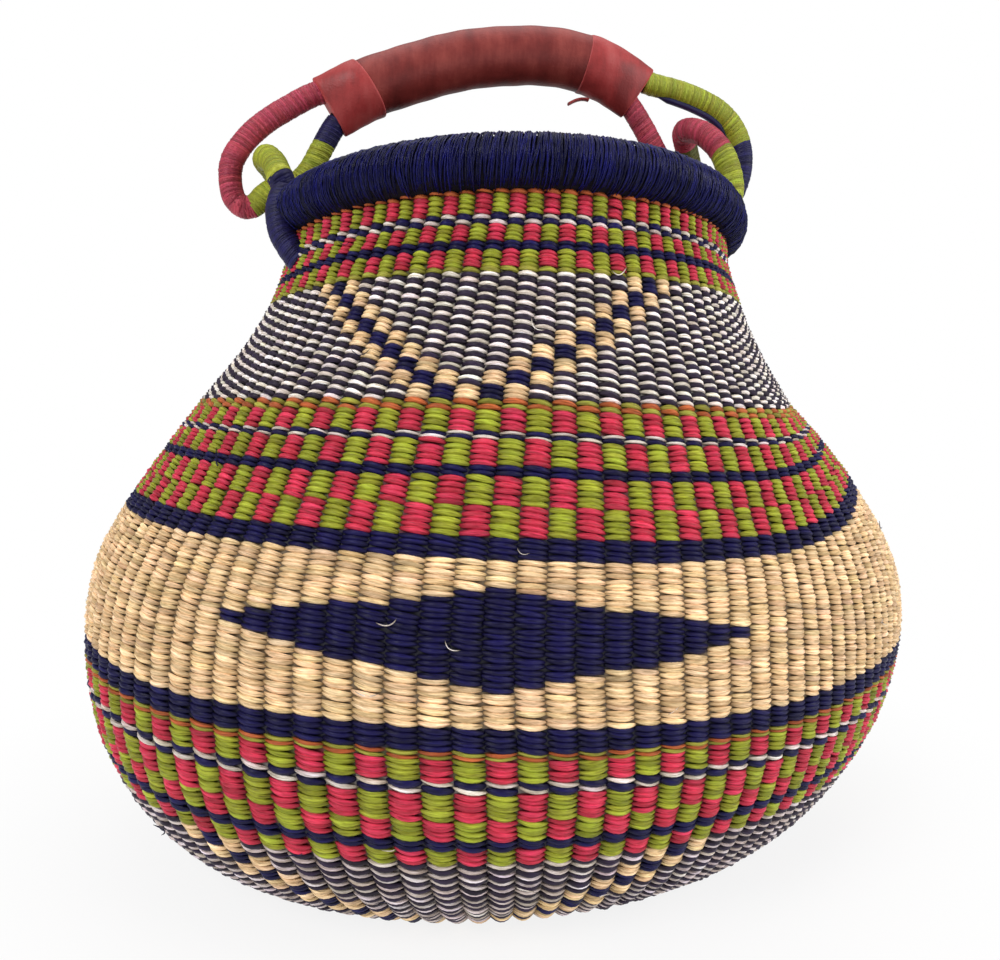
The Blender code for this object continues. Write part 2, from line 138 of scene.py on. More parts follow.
FLOOR_HALF = 4.0
FLOOR_LEVEL = -0.001
corners = [(x * FLOOR_HALF, y * FLOOR_HALF, FLOOR_LEVEL) for x, y in ((-1, -1), (1, -1), (1, 1), (-1, 1))]
floor_mesh = bpy.data.meshes.new("floor")
floor_mesh.from_pydata(corners, [], [(0, 1, 2, 3)])
floor = bpy.data.objects.new("floor", floor_mesh)
bpy.context.scene.collection.objects.link(floor)
floor_finish, floor_shader, strand = new_finish(
    "white_sweep", {"Base Color": (0.90, 0.90, 0.90, 1.0), "Roughness": 0.9})
place = strand.node("ShaderNodeTexCoord", out="Object")
distance = strand.node("ShaderNodeVectorMath", {0: place}, out="Value", operation="LENGTH")
fading = strand.node("ShaderNodeMapRange", {"Value": distance, "From Min": 0.16, "From Max": 0.34,
                                            "To Min": 0.84, "To Max": 1.0})
white = strand.node("ShaderNodeEmission", {"Color": (1, 1, 1, 1), "Strength": 1.0})
mixed = strand.node("ShaderNodeMixShader", {0: fading, 1: Strand(floor_shader.outputs[0]), 2: white})
mixed.to(floor_finish.node_tree.nodes["Material Output"].inputs["Surface"])
floor_mesh.materials.append(floor_finish)

world = bpy.data.worlds.new("daylight")
world.use_nodes = True
bpy.context.scene.world = world
sky = world.node_tree.nodes["Background"]
strand = Strand(sky.inputs["Color"])
rays = strand.node("ShaderNodeLightPath")
plain_white = rays.output("Is Camera Ray") + rays.output("Is Transmission Ray")
strand.node("ShaderNodeMix", {0: plain_white, "A": (0.32, 0.32, 0.325, 1.0), "B": (1.0, 1.0, 1.0, 1.0)},
            out=2, data_type="RGBA").to(sky.inputs["Color"])

# Each lamp's place, its width in metres and its power in watts
for name, place, size, power in (
    ("window_left", (-1.5, -1.3, 1.7), 1.1, 29.0),
    ("window_right", (1.7, -1.0, 1.1), 1.4, 24.0),
    ("skylight", (0.1, 0.2, 2.2), 1.8, 16.0),
):
    lamp = bpy.data.lights.new(name, "AREA")
    lamp.size = size
    lamp.energy = power
    lamp_object = bpy.data.objects.new(name, lamp)
    lamp_object.location = place
    lamp_object.rotation_euler = (Vector((0, 0, 0.2)) - Vector(place)).to_track_quat("-Z", "Y").to_euler()
    bpy.context.scene.collection.objects.link(lamp_object)

# Woven wall
# The wall is twined from split and twisted grass over upright stakes. Each stitch shows as one
# grain over one stake and dives between the stakes. Dyed and natural grass make the bands.

RIM_HEIGHT = 0.310
RIM_SADDLE = 0.0035
WALL_TOP = 0.2993
BELLY_OVAL = 0.809
BELLY_TURN = math.radians(12.0)
BELLY_HEIGHT = 0.100
RIGHT_BULGE = 0.019
BULGE_HEIGHT = 0.118
BULGE_REACH = 0.072
ROW_TILT = 0.0085
ROUNDING_START, ROUNDING_END = 0.37, 0.90
BELLY_REACH, BASE_REACH, NECK_REACH = 0.210, 0.136, 0.1155
# The outline below and above the belly, as shares of the way out to it and of the height
LOWER_OUTLINE = ((0.0, 0.0), (0.20, 0.03), (0.42, 0.10), (0.70, 0.30), (0.93, 0.62))
UPPER_OUTLINE = ((1.0, 0.0), (0.93, 0.20), (0.70, 0.40), (0.42, 0.60), (0.262, 0.70), (0.132, 0.80),
                 (0.055, 0.88), (0.010, 0.95), (0.0, 1.0))
STAKES = 108
STAKE_START = math.radians(-106.7)
STAKE_CROWDING = 0.17
CROWDED_SIDE = math.radians(35.0)
# How far the stakes have moved from even spacing, in stakes. Each line is an arc up the wall
# and the move at each of the stakes named first, counted from the middle of the front.
LEAN_STAKES = np.arange(-16, 17, 4)
STAKE_LEAN = (
    (0.000, 0.0, 0.1, 0.1, 0.1, 0.25, 0.3, 0.25, 0.2, 0.1),
    (0.120, 0.0, 0.1, 0.1, 0.1, 0.25, 0.3, 0.25, 0.2, 0.1),
    (0.165, 0.2, 0.1, 0.0, -0.05, 0.0, 0.05, 0.1, 0.1, 0.0),
    (0.215, 0.8, 0.16, -0.26, -0.31, -0.11, 0.16, 0.42, 0.28, -0.1),
    (0.244, 0.3, -0.13, -0.34, -0.38, -0.11, 0.28, 0.45, 0.42, 0.0),
    (0.262, -0.2, -0.40, -0.48, -0.48, -0.12, 0.28, 0.52, 0.60, 0.5),
    (0.332, -0.4, -0.62, -0.54, -0.33, 0.12, 0.73, 1.29, 1.80, 2.05),
    (0.343, 0.3, 0.03, -0.18, -0.08, 0.33, 0.86, 1.42, 1.90, 2.15),
    (0.355, 0.7, 0.60, 0.27, 0.22, 0.57, 1.02, 1.56, 1.85, 1.95),
)
# How far the rows have moved up the wall, in metres, in the same way
DRIFT_STAKES = (-18, -12, -6, 0, 6, 12, 15, 18, 21, 24, 31, 46)
ROW_DRIFT = (
    (0.000, 0, 0, 0, 0, 0, 0, 0, 0, 0, 0, 0, 0),
    (0.080, 0.0030, 0.0008, 0.0004, -0.0004, -0.0012, -0.0010, -0.0004, 0.0006, 0.001, 0.001, 0.001, 0),
    (0.134, 0.0040, 0.0004, 0.0003, -0.0012, -0.0024, -0.0022, -0.0010, 0.0, 0.001, 0.002, 0.002, 0),
    (0.203, 0.0050, 0.0022, 0.0012, 0.0, -0.0012, 0.0002, 0.0040, 0.010, 0.019, 0.026, 0.024, 0.004),
    (0.236, 0.0028, 0.0004, -0.0006, -0.0004, -0.0020, -0.0014, 0.0008, 0.005, 0.012, 0.016, 0.014, 0.002),
    (0.262, 0.0010, 0.0004, -0.0002, 0.0, -0.0008, -0.0005, 0.0, 0.001, 0.003, 0.005, 0.005, 0),
    (0.338, 0.0006, 0.0024, 0.0016, 0.0008, 0.0008, 0.0016, 0.0020, 0.002, 0.002, 0.002, 0.001, 0),
    (0.368, 0, 0, 0, 0, 0, 0, 0, 0, 0, 0, 0, 0),
)
# The right shoulder stands out and the neck above it is pressed in, by height
FOLD_ANGLE = math.radians(-28.0)
FOLD_SPREAD = 0.42
FOLD_SHAPE = ((0.0, 0.0), (0.09, 0.0), (0.125, 0.0018), (0.165, 0.0034), (0.190, 0.0022), (0.207, -0.0020),
              (0.220, -0.0066), (0.245, -0.0054), (0.275, -0.0046), (0.310, -0.0044))
STITCH_WIDE, STITCH_TALL, STITCH_THICK = 1.30, 1.16, 0.0023
STITCH_SINK = 0.0007
STITCH_WANDER = 0.00016
COLUMN_LEAN, STITCH_LEAN = 0.035, 0.03
WIDE_SPREAD, TALL_SPREAD = 0.04, 0.05
DYE_SPREAD, TINT_SPREAD = 0.09, (0.012, 0.024, 0.040)
NATURAL = (0.90, 0.63, 0.355)
WHITENED = (0.98, 0.88, 0.80)
DASH_WHITE = (0.80, 0.70, 0.63)
# The white of the lower rows, painted darker and warmer as the shade under the belly
LOW_WHITE_PAINTED_SHADE = (0.70, 0.59, 0.57)
NAVY = (0.008, 0.006, 0.056)
PEPPER = (0.026, 0.016, 0.036)
RED = (0.61, 0.038, 0.078)
GREEN = (0.33, 0.355, 0.030)
BURNT = (0.50, 0.12, 0.036)
OLIVE = (0.33, 0.31, 0.045)


def smooth_line(points, steps):
    """A smooth line through the points, with that many steps between each two."""
    given = np.array(points, float)
    padded = np.vstack((2 * given[0] - given[1], given, 2 * given[-1] - given[-2]))
    share = np.linspace(0.0, 1.0, steps, endpoint=False)[:, None]
    parts = []
    for a, b, c, d in zip(padded, padded[1:], padded[2:], padded[3:]):
        parts.append(0.5 * (2 * b + (c - a) * share + (2 * a - 5 * b + 4 * c - d) * share ** 2
                            + (3 * b - 3 * c + d - a) * share ** 3))
    return np.vstack(parts + [given[-1:]])


def run_of(line):
    """How far along a line each of its points lies."""
    return np.concatenate(([0.0], np.cumsum(np.linalg.norm(np.diff(line, axis=0), axis=1))))


wall_points = [(BASE_REACH + (BELLY_REACH - BASE_REACH) * reach, BELLY_HEIGHT * level)
               for reach, level in LOWER_OUTLINE]
wall_points += [(NECK_REACH + (BELLY_REACH - NECK_REACH) * reach,
                 BELLY_HEIGHT + (WALL_TOP - BELLY_HEIGHT) * level) for reach, level in UPPER_OUTLINE]
# The weave follows the solid's rows of facets, two to a step, to a tenth of a millimetre
outline = smooth_line(np.round(smooth_line(wall_points, 2), 4), 12)
outline_arc = run_of(outline)
WALL_LENGTH = outline_arc[-1]


def soft_fold(angle, height):
    """How far the soft right shoulder stands out, or the neck above it is pressed in."""
    off = (np.asarray(angle) - FOLD_ANGLE + math.pi) % (2 * math.pi) - math.pi
    heights, depths = np.array(FOLD_SHAPE).T
    return np.interp(height, heights, depths) * np.exp(-(off / FOLD_SPREAD) ** 2)


def oval_place(reach, height, angle):
    """A point of the outer wall from its reach, height and place round the basket."""
    around = angle - BELLY_TURN
    reach = reach + soft_fold(angle, height)
    level = height / WALL_TOP
    rounding = np.clip((level - ROUNDING_START) / (ROUNDING_END - ROUNDING_START), 0.0, 1.0) ** 1.5
    oval = BELLY_OVAL + (1.0 - BELLY_OVAL) * rounding
    bulge = RIGHT_BULGE * np.exp(-((height - BULGE_HEIGHT) / BULGE_REACH) ** 2)
    bulge = bulge * np.sin(math.pi * np.minimum(height / BELLY_HEIGHT, 1.0) / 2)
    along = (reach + bulge * np.maximum(np.cos(around), 0.0)) * np.cos(around)
    across = reach * oval * np.sin(around)
    top_share = np.maximum(level - ROUNDING_START, 0.0) / (1.0 - ROUNDING_START)
    slope = ROW_TILT * np.sin(math.pi * level) ** 2 * (1.0 - top_share)
    lift = -RIM_SADDLE * np.cos(2 * angle) * top_share - slope * np.cos(around)
    return np.stack((
        along * math.cos(BELLY_TURN) - across * math.sin(BELLY_TURN),
        along * math.sin(BELLY_TURN) + across * math.cos(BELLY_TURN),
        height + lift,
    ), axis=-1)


def wall_place(arc, angle):
    """A point of the outer wall. Below zero the arc runs on under the base to its middle."""
    reach = np.where(arc < 0, outline[0, 0] + arc, np.interp(arc, outline_arc, outline[:, 0]))
    height = np.where(arc < 0, 0.0, np.interp(arc, outline_arc, outline[:, 1]))
    return oval_place(reach, height, angle)


def stake_angle(stake):
    """The stakes stand a little closer together on the crowded side."""
    even = STAKE_START + stake * 2 * math.pi / STAKES
    return even - STAKE_CROWDING * np.sin(even + CROWDED_SIDE)


def read_table(table, columns, arc, stake):
    """A value from a table of heights and stakes, run together round the back."""
    table = np.array(table)
    off = (np.asarray(stake, float) + STAKES / 2) % STAKES - STAKES / 2
    arc, off = np.broadcast_arrays(np.asarray(arc, float), off)
    by_height = np.stack([np.interp(off, columns, line[1:], period=STAKES) for line in table])
    level = np.clip(np.interp(arc, table[:, 0], np.arange(len(table))), 0, len(table) - 1.001)
    below = level.astype(int)
    lower = np.take_along_axis(by_height, below[None], 0)[0]
    upper = np.take_along_axis(by_height, below[None] + 1, 0)[0]
    return lower + (upper - lower) * (level - below)


def settled(arc, stake, stakes=STAKES):
    """Where a stitch has settled: its arc up the wall and its angle round the basket."""
    whole = np.asarray(stake, float) * STAKES / stakes
    leaning = whole + read_table(STAKE_LEAN, LEAN_STAKES, arc, whole)
    return arc + read_table(ROW_DRIFT, DRIFT_STAKES, arc, whole), stake_angle(leaning)


def unit(vectors):
    return vectors / np.linalg.norm(vectors, axis=-1, keepdims=True)


def wall_frame(arc, angle, step_round=0.01, step_up=0.002):
    """Along the row, up the wall and outwards, at each place."""
    along = unit(wall_place(arc, angle + step_round) - wall_place(arc, angle - step_round))
    upward = wall_place(arc + step_up, angle) - wall_place(arc - step_up, angle)
    outward = unit(np.cross(along, upward))
    return along, np.cross(outward, along), outward


def turned_pair(first, second, angle):
    """Two crossed directions, turned in their own plane."""
    return (first * np.cos(angle) + second * np.sin(angle),
            second * np.cos(angle) - first * np.sin(angle))


def as_turns(along, upward, outward):
    """The same three directions as turns about x, y and z."""
    return np.stack((
        np.arctan2(upward[..., 2], outward[..., 2]),
        np.arcsin(np.clip(-along[..., 2], -1.0, 1.0)),
        np.arctan2(along[..., 1], along[..., 0]),
    ), axis=-1)


def loose_mesh(name, places, faces=()):
    mesh = bpy.data.meshes.new(name)
    mesh.from_pydata([tuple(place) for place in places], [], [tuple(face) for face in faces])
    thing = bpy.data.objects.new(name, mesh)
    bpy.context.scene.collection.objects.link(thing)
    return thing


def mark(mesh, name, kind, values, domain="POINT"):
    """Stores one value for each point or face of the mesh."""
    stored = mesh.attributes.new(name, kind, domain)
    field = {"FLOAT": "value", "FLOAT_VECTOR": "vector", "FLOAT_COLOR": "color"}[kind]
    stored.data.foreach_set(field, np.ascontiguousarray(values, dtype=np.float32).ravel())


def ring_faces(count, sides, closed_loop=False):
    """The faces that join each ring of points to the next."""
    faces = []
    for ring in range(count if closed_loop else count - 1):
        near, far = ring * sides, (ring + 1) % count * sides
        for side in range(sides):
            after = (side + 1) % sides
            faces.append((near + side, near + after, far + after, far + side))
    return faces


def grass_grain(name, stations, sides, dive):
    """One closed grain of grass, 1 by 1 by 1, whose pointed ends dive behind the wall."""
    share = np.linspace(-1.0, 1.0, stations)[1:-1]
    girth = 0.5 * (1.0 - np.abs(share) ** 2.0) ** 0.80
    turn = np.arange(sides) * 2 * math.pi / sides + math.pi / 2
    places = [(0.5 * t, w * math.cos(a), w * math.sin(a) - dive * t * t)
              for t, w in zip(share, girth) for a in turn]
    first, last, top = len(places), len(places) + 1, len(places) - sides
    places += [(-0.5, 0.0, -dive), (0.5, 0.0, -dive)]
    faces = ring_faces(len(share), sides)
    for side in range(sides):
        after = (side + 1) % sides
        faces.append((first, after, side))
        faces.append((last, top + side, top + after))
    grain = loose_mesh(name, places, faces)
    fibre = grain.data.uv_layers.new(name="fibre")
    for corner in grain.data.loops:
        x, y, z = grain.data.vertices[corner.vertex_index].co
        fibre.data[corner.index].uv = (x + 0.5, math.atan2(z + dive * 4 * x * x, y) / (2 * math.pi))
    grain.data.shade_smooth()
    return grain


def straw_tree():
    """Sets one straw on each point, turned, sized and coloured as the point says."""
    tree = bpy.data.node_groups.new("straws_on_points", "GeometryNodeTree")
    for name, kind in (("Geometry", "Geometry"), ("Straw", "Object"), ("Finish", "Material"),
                       ("Ruffle", "Float"), ("Seed", "Int")):
        tree.interface.new_socket(name, in_out="INPUT", socket_type="NodeSocket" + kind)
    tree.interface.new_socket("Geometry", in_out="OUTPUT", socket_type="NodeSocketGeometry")
    points = Strand(tree.nodes.new("NodeGroupInput").outputs["Geometry"])
    straw = points.node("GeometryNodeObjectInfo", {"Object": points.output("Straw")}, out="Geometry")
    turn, size = (points.node("GeometryNodeInputNamedAttribute", {"Name": name}, data_type="FLOAT_VECTOR")
                  for name in ("turn", "size"))
    shake = points.node("FunctionNodeRandomValue", {0: (-1.0, -1.0, -1.0), 1: (1.0, 1.0, 1.0),
                                                    "Seed": points.output("Seed")}, data_type="FLOAT_VECTOR")
    ruffle = points.node("ShaderNodeVectorMath", {0: shake, "Scale": points.output("Ruffle")},
                         operation="SCALE")
    turned = points.node("ShaderNodeVectorMath", {0: turn, 1: ruffle}, operation="ADD")
    rotation = points.node("FunctionNodeEulerToRotation", {0: turned})
    placed = points.node("GeometryNodeInstanceOnPoints", {"Points": points, "Instance": straw,
                                                          "Rotation": rotation, "Scale": size})
    real = points.node("GeometryNodeRealizeInstances", {0: placed})
    finished = points.node("GeometryNodeSetMaterial", {0: real, "Material": points.output("Finish")})
    finished.to(tree.nodes.new("NodeGroupOutput").inputs[0])
    return tree


STRAW_TREE = straw_tree()


def lay_straws(name, places, turns, sizes, colours, straw, finish, body, slot, ruffle=0.03, seed=1):
    """Straws of one piece on one body, as a plain mesh."""
    count = len(places)
    chance = np.random.default_rng(seed).random(count)
    piece = loose_mesh(name, places)
    mark(piece.data, "turn", "FLOAT_VECTOR", turns)
    mark(piece.data, "size", "FLOAT_VECTOR", sizes)
    mark(piece.data, "straw_colour", "FLOAT_COLOR", np.column_stack((colours, np.ones(count))))
    mark(piece.data, "chance", "FLOAT", chance)
    grown = piece.modifiers.new("straws", "NODES")
    grown.node_group = STRAW_TREE
    values = {"Straw": straw, "Finish": finish, "Ruffle": ruffle, "Seed": seed}
    for item in STRAW_TREE.interface.items_tree:
        if item.in_out == "INPUT" and item.name in values:
            grown[item.identifier] = values[item.name]
    evaluated = piece.evaluated_get(bpy.context.evaluated_depsgraph_get())
    mesh = bpy.data.meshes.new_from_object(evaluated)
    piece.modifiers.clear()
    plain = piece.data
    piece.data = mesh
    bpy.data.meshes.remove(plain)
    mesh.name = name
    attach(piece, body)
    return piece


def grass_finish(name, gloss, streak_and_glint, bump, shine, tip_painted_shade=0.0):
    """Split grass: fibre streaks that are partly painted glints, a lighter or darker straw here and there,
    and painted shade towards both ends of each straw.
    """
    material, shader, strand = new_finish(name, {"Specular IOR Level": shine})
    chance = strand.attribute("chance")
    fibre = strand.node("ShaderNodeUVMap", uv_map="fibre")
    moved = strand.node("ShaderNodeCombineXYZ", {0: chance * 37.0, 1: chance * 11.0, 2: chance * 5.0})
    place = strand.node("ShaderNodeVectorMath", {0: fibre, 1: (2.2, 9.0, 1.0)}, operation="MULTIPLY")
    place = strand.node("ShaderNodeVectorMath", {0: place, 1: moved}, operation="ADD")
    # The streaks are partly the grass's fibres and partly painted glints: lighter and darker lines along each
    # straw.
    streaks = strand.node("ShaderNodeTexNoise", {"Vector": place, "Scale": 1.0, "Detail": 3.0,
                                                 "Roughness": 0.6})
    ends = strand.node("ShaderNodeSeparateXYZ", {0: fibre}) * 2.0 - 1.0
    light = ((streaks - 0.5) * streak_and_glint + 1.0) * ((chance - 0.5) * 0.30 + 1.0)
    # Painted shade: each straw darkens towards both ends, where it dives between the stakes, and its darker
    # parts turn warmer.
    light = light * (1.0 - ends * ends * (ends * ends + 0.6) * tip_painted_shade)
    warmer = strand.node("ShaderNodeCombineColor", {0: light, 1: light * (light * 0.12 + 0.88),
                                                    2: light * (light * 0.35 + 0.65)})
    strand.attribute("straw_colour", "Color").dyed(warmer).to(shader.inputs["Base Color"])
    (gloss + (streaks - 0.5) * 0.25).to(shader.inputs["Roughness"])
    relief = strand.node("ShaderNodeBump", {"Strength": bump, "Distance": 0.0004, "Height": streaks})
    relief.to(shader.inputs["Normal"])
    return material


wall_finish = grass_finish("twined_grass", 0.42, 2.4, 1.0, 0.20, tip_painted_shade=0.62)
wall_grain = grass_grain("wall_grain", 8, 5, 1.25)

# Each band from the base up: rows, where it ends as an arc up the wall, and its pattern
BANDS = (
    ("lower_rows", 7, 0.0155, "dark_pepper"),
    ("lower_zigzag", 27, 0.0819, "dark_zigzag"),
    ("band_k", 3, 0.0894, "green_first"),
    ("line_k", 2, 0.0943, "navy"),
    ("band_j", 4, 0.1032, "red_first"),
    ("band_i", 5, 0.1141, "green_first"),
    ("dashes_h", 2, 0.1191, "dashes_red"),
    ("band_h", 4, 0.1272, "red_first"),
    ("mixed_h", 2, 0.1301, "mixed"),
    ("line_h", 4, 0.1386, "navy"),
    ("belly", 29, 0.1990, "diamond"),
    ("line_g", 4, 0.2080, "navy"),
    ("band_g", 5, 0.2210, "green_first"),
    ("band_f", 5, 0.2334, "red_first"),
    ("line_f", 2, 0.2380, "navy"),
    ("band_e", 5, 0.2492, "green_first"),
    ("dashes_d", 2, 0.2527, "dashes_red"),
    ("band_d", 4, 0.2622, "red_first"),
    ("mixed_d", 2, 0.2670, "mixed"),
    ("upper_zigzag", 27, 0.3260, "zigzag"),
    ("mixed_c", 1, 0.3281, "olive"),
    ("band_c", 4, 0.3355, "green_first"),
    ("line_c", 2, 0.3394, "navy"),
    ("band_b", 4, 0.3466, "red_first"),
    ("dashes_a", 2, 0.3511, "dashes_green"),
    ("band_a", 4, 0.3592, "green_first"),
    ("mixed_a", 1, WALL_LENGTH, "burnt"),
)
# How many stakes apart the V shapes and the diamonds repeat, and their sizes in stakes and rows
REPEAT = 36
ZIGZAG_STAKE = -2
DIAMOND_HALF, DIAMOND_RISE, DIAMOND_LIFT = 9, 8, 0.25
DASH_TALL, DASH_NAVY_TALL = 0.68, 1.20
FINE_LIGHT, FINE_DARK = 0.15, 0.26


def stitch_colours(pattern, rows, stakes):
    """The colour of every stitch of a band, rows from the bottom, and its height share."""
    row, stake = np.meshgrid(np.arange(rows), stakes, indexing="ij")
    even = (stake % 2 == 0)[..., None]
    salt = ((stake + row) % 2 == 0)[..., None]
    red, green, navy, natural = (np.array(shade) for shade in (RED, GREEN, NAVY, NATURAL))
    tall = np.ones(row.shape)
    if pattern == "navy":
        return np.broadcast_to(navy, (*row.shape, 3)), tall
    if pattern == "red_first":
        return np.where(even, red, green), tall
    if pattern == "green_first":
        return np.where(even, green, red), tall
    if pattern in ("dashes_red", "dashes_green"):
        upper_white = even if pattern == "dashes_red" else ~even
        white = np.where((row == rows - 1)[..., None], upper_white, ~upper_white)
        return np.where(white, np.array(DASH_WHITE), navy), np.where(white[..., 0], DASH_TALL, DASH_NAVY_TALL)
    if pattern in ("mixed", "burnt", "olive"):
        first, second = {"mixed": (BURNT, OLIVE), "burnt": (BURNT, BURNT), "olive": (OLIVE, OLIVE)}[pattern]
        swapped = even ^ (row == 0)[..., None] if pattern == "mixed" else even
        return np.where(swapped, np.array(first), np.array(second)), tall
    if pattern == "diamond":
        sideways = np.abs((stake + REPEAT // 2) % REPEAT - REPEAT // 2)
        half = 1 + np.round(DIAMOND_RISE * (DIAMOND_HALF - sideways) / DIAMOND_HALF)
        inside = (sideways <= DIAMOND_HALF) & (np.abs(row - (rows - 1) / 2 - DIAMOND_LIFT) <= half)
        return np.where(inside[..., None], navy, natural), tall
    dark = pattern.startswith("dark")
    # In the lower rows the white stitches are painted in shade
    colours = np.where(salt, np.array(LOW_WHITE_PAINTED_SHADE if dark else WHITENED), np.array(PEPPER))
    fine = FINE_DARK if dark else FINE_LIGHT
    tall = np.where(salt[..., 0], 1.0 - fine, 1.0 + fine)
    if pattern.endswith("zigzag"):
        sideways = np.abs((stake - ZIGZAG_STAKE + REPEAT // 2) % REPEAT - REPEAT // 2)
        step = row // 3
        blue = sideways == step + 1
        pale = (sideways == step + 2) | ((sideways == step) & (step > 0)) | ((sideways == 0) & (step == 0))
        colours = np.where(blue[..., None], navy, np.where(pale[..., None], natural, colours))
        tall = np.where(blue | pale, 1.0, tall)
    return colours, tall


def stitch_span(arc, stake, stakes, rise, side):
    """How far it is across a stitch that is a rise tall or a side wide, on the wall."""
    ahead_of = wall_place(*settled(arc + rise / 2, stake + side / 2, stakes))
    behind = wall_place(*settled(arc - rise / 2, stake - side / 2, stakes))
    return np.linalg.norm(ahead_of - behind, axis=-1)


def weave_band(name, rows, low, high, pattern, stakes, seed):
    """All stitches of one band as a piece of the pot."""
    rng = np.random.default_rng(seed)
    pitch = (high - low) / rows
    numbers = np.arange(stakes) - stakes // 2
    row, stake = np.meshgrid(np.arange(rows) + 0.5, numbers, indexing="ij")
    wanted = low + row * pitch + rng.normal(0, STITCH_WANDER, row.shape)
    arc, angle = settled(wanted, stake, stakes)
    width = stitch_span(wanted, stake, stakes, 0.0, 1.0)
    height = stitch_span(wanted, stake, stakes, pitch, 0.0)
    along, upward, outward = wall_frame(arc, angle)
    slant = np.full((*row.shape, 1), -0.5 * pitch / width.mean())
    slant = slant + rng.normal(0, COLUMN_LEAN, (1, stakes, 1)) + rng.normal(0, STITCH_LEAN, (*row.shape, 1))
    along, upward = turned_pair(along, upward, slant)
    turns = as_turns(along, upward, outward)
    places = wall_place(arc, angle) + outward * rng.normal(-STITCH_SINK, STITCH_WANDER, row.shape)[..., None]
    colours, tall = stitch_colours(pattern, rows, numbers)
    colours = colours * rng.normal(1, DYE_SPREAD, (*row.shape, 1))
    colours = colours * rng.normal(1, TINT_SPREAD, (*row.shape, 3))
    sizes = np.stack((
        width * rng.normal(STITCH_WIDE, WIDE_SPREAD, row.shape),
        height * STITCH_TALL * tall * rng.normal(1, TALL_SPREAD, row.shape),
        STITCH_THICK * (0.75 + 0.25 * tall),
    ), axis=-1)
    lay_straws(name, *(part.reshape(-1, 3) for part in (places, turns, sizes, colours)),
               wall_grain, wall_finish, "pot", "natural_straw", seed=seed)


row_edges, row_shades = [0.0], []
low = 0.0
for number, (name, rows, high, pattern) in enumerate(BANDS):
    weave_band("weave_" + name, rows, low, high, pattern, STAKES, 100 + number)
    row_edges += [low + (high - low) * (row + 1) / rows for row in range(rows)]
    row_shades += list(stitch_colours(pattern, rows, np.arange(STAKES) - STAKES // 2)[0])
    low = high

# Base
# The base is started in the middle and twined round in the same salt-and-pepper rows.
# Stakes are added on the way out, so the stitches stay about as wide as on the wall.

BASE_PITCH = 0.0026
# The stakes of each ring, and the arcs in from the wall's foot at which it starts and ends
BASE_RINGS = ((108, 0.0, -0.0480), (54, -0.0480, -0.0930), (27, -0.0930, -0.1180), (12, -0.1180, -0.1320))
for stakes, outer, inner in BASE_RINGS:
    rows = round((outer - inner) / BASE_PITCH)
    weave_band(f"base_{stakes}_stakes", rows, inner, outer, "dark_pepper", stakes, 200 + stakes)

# Inside of the wall
# The same stitches seen from inside, over the backs of the outer ones, which are painted dark
# as the shade between the grains. It closes the wall: its outer face lies just behind the grains
# and its inner face is the basket's lining.

GROUND_DEPTH = 0.0022
LINING_DEPTH = 0.0048
LINING_FLOOR = 0.0052
UNDER_RINGS = 7
FLOOR_RINGS = 50
# Painted shade: the outer face behind the grains is near black, or its stitches' colour at a fifth, as the
# shade between them
GROUND_PAINTED_SHADE = (0.030, 0.018, 0.014)
BACK_PAINTED_SHADE = 0.22
levels = []
for depth, arcs in ((GROUND_DEPTH, row_edges), (LINING_DEPTH, row_edges[::-1])):
    for wanted in arcs:
        arc, angles = settled(np.full(STAKES, wanted), np.arange(STAKES) - STAKES / 2 - 0.5)
        levels.append(wall_place(arc, angles) - wall_frame(arc, angles)[2] * depth)
level_out = np.array((1.0, 1.0, 0.0))
under_ring, floor_ring = levels[0] * level_out, levels[-1] * level_out
under_middle = np.array((0.0, 0.0, GROUND_DEPTH))
floor_middle = np.array((0.0, 0.0, LINING_FLOOR))
levels = [under_ring * step / (UNDER_RINGS + 1) + under_middle for step in range(1, UNDER_RINGS + 1)] + levels
levels += [floor_ring * (1.0 - step / FLOOR_RINGS) + floor_middle for step in range(1, FLOOR_RINGS)]
places = np.vstack(levels + [[under_middle, floor_middle]])
lining_start = UNDER_RINGS + len(row_edges)
floor_start = lining_start + len(row_shades)
faces, shades, seen = ring_faces(len(levels), STAKES), [], []
for level in range(len(levels) - 1):
    for stake in range(STAKES):
        if level >= floor_start:
            shades.append(WHITENED if (level + stake) % 2 else PEPPER)
        elif level >= lining_start:
            shades.append(row_shades[floor_start - 1 - level][stake])
        elif UNDER_RINGS <= level < lining_start - 1:
            shades.append(row_shades[level - UNDER_RINGS][stake] * BACK_PAINTED_SHADE)
        else:
            shades.append(GROUND_PAINTED_SHADE)
        seen.append(float(level >= lining_start))
first, last, top = len(places) - 2, len(places) - 1, (len(levels) - 1) * STAKES
for stake in range(STAKES):
    after = (stake + 1) % STAKES
    faces += [(after, stake, first), (top + stake, top + after, last)]
    shades += [GROUND_PAINTED_SHADE, PEPPER]
    seen += [0.0, 0.0]
lining = loose_mesh("wall_lining", places, faces)
mesh = lining.data
fibre = mesh.uv_layers.new(name="fibre")
for face in mesh.polygons:
    for corner, place in zip(face.loop_indices, ((0, 0), (1, 0), (1, 1), (0, 1))):
        fibre.data[corner].uv = place
mark(mesh, "straw_colour", "FLOAT_COLOR", np.column_stack((np.array(shades), np.ones(len(shades)))), "FACE")
mark(mesh, "stitched", "FLOAT", seen, "FACE")
mark(mesh, "chance", "FLOAT", np.random.default_rng(7).random(len(faces)), "FACE")
mesh.shade_smooth()


def dress(piece, finish, body, slot, *nodes):
    """Gives a piece its finish and its body, and hides the CAD nodes that it stands for."""
    piece.data.materials.append(finish)
    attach(piece, body)
    if nodes:
        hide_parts(*nodes)


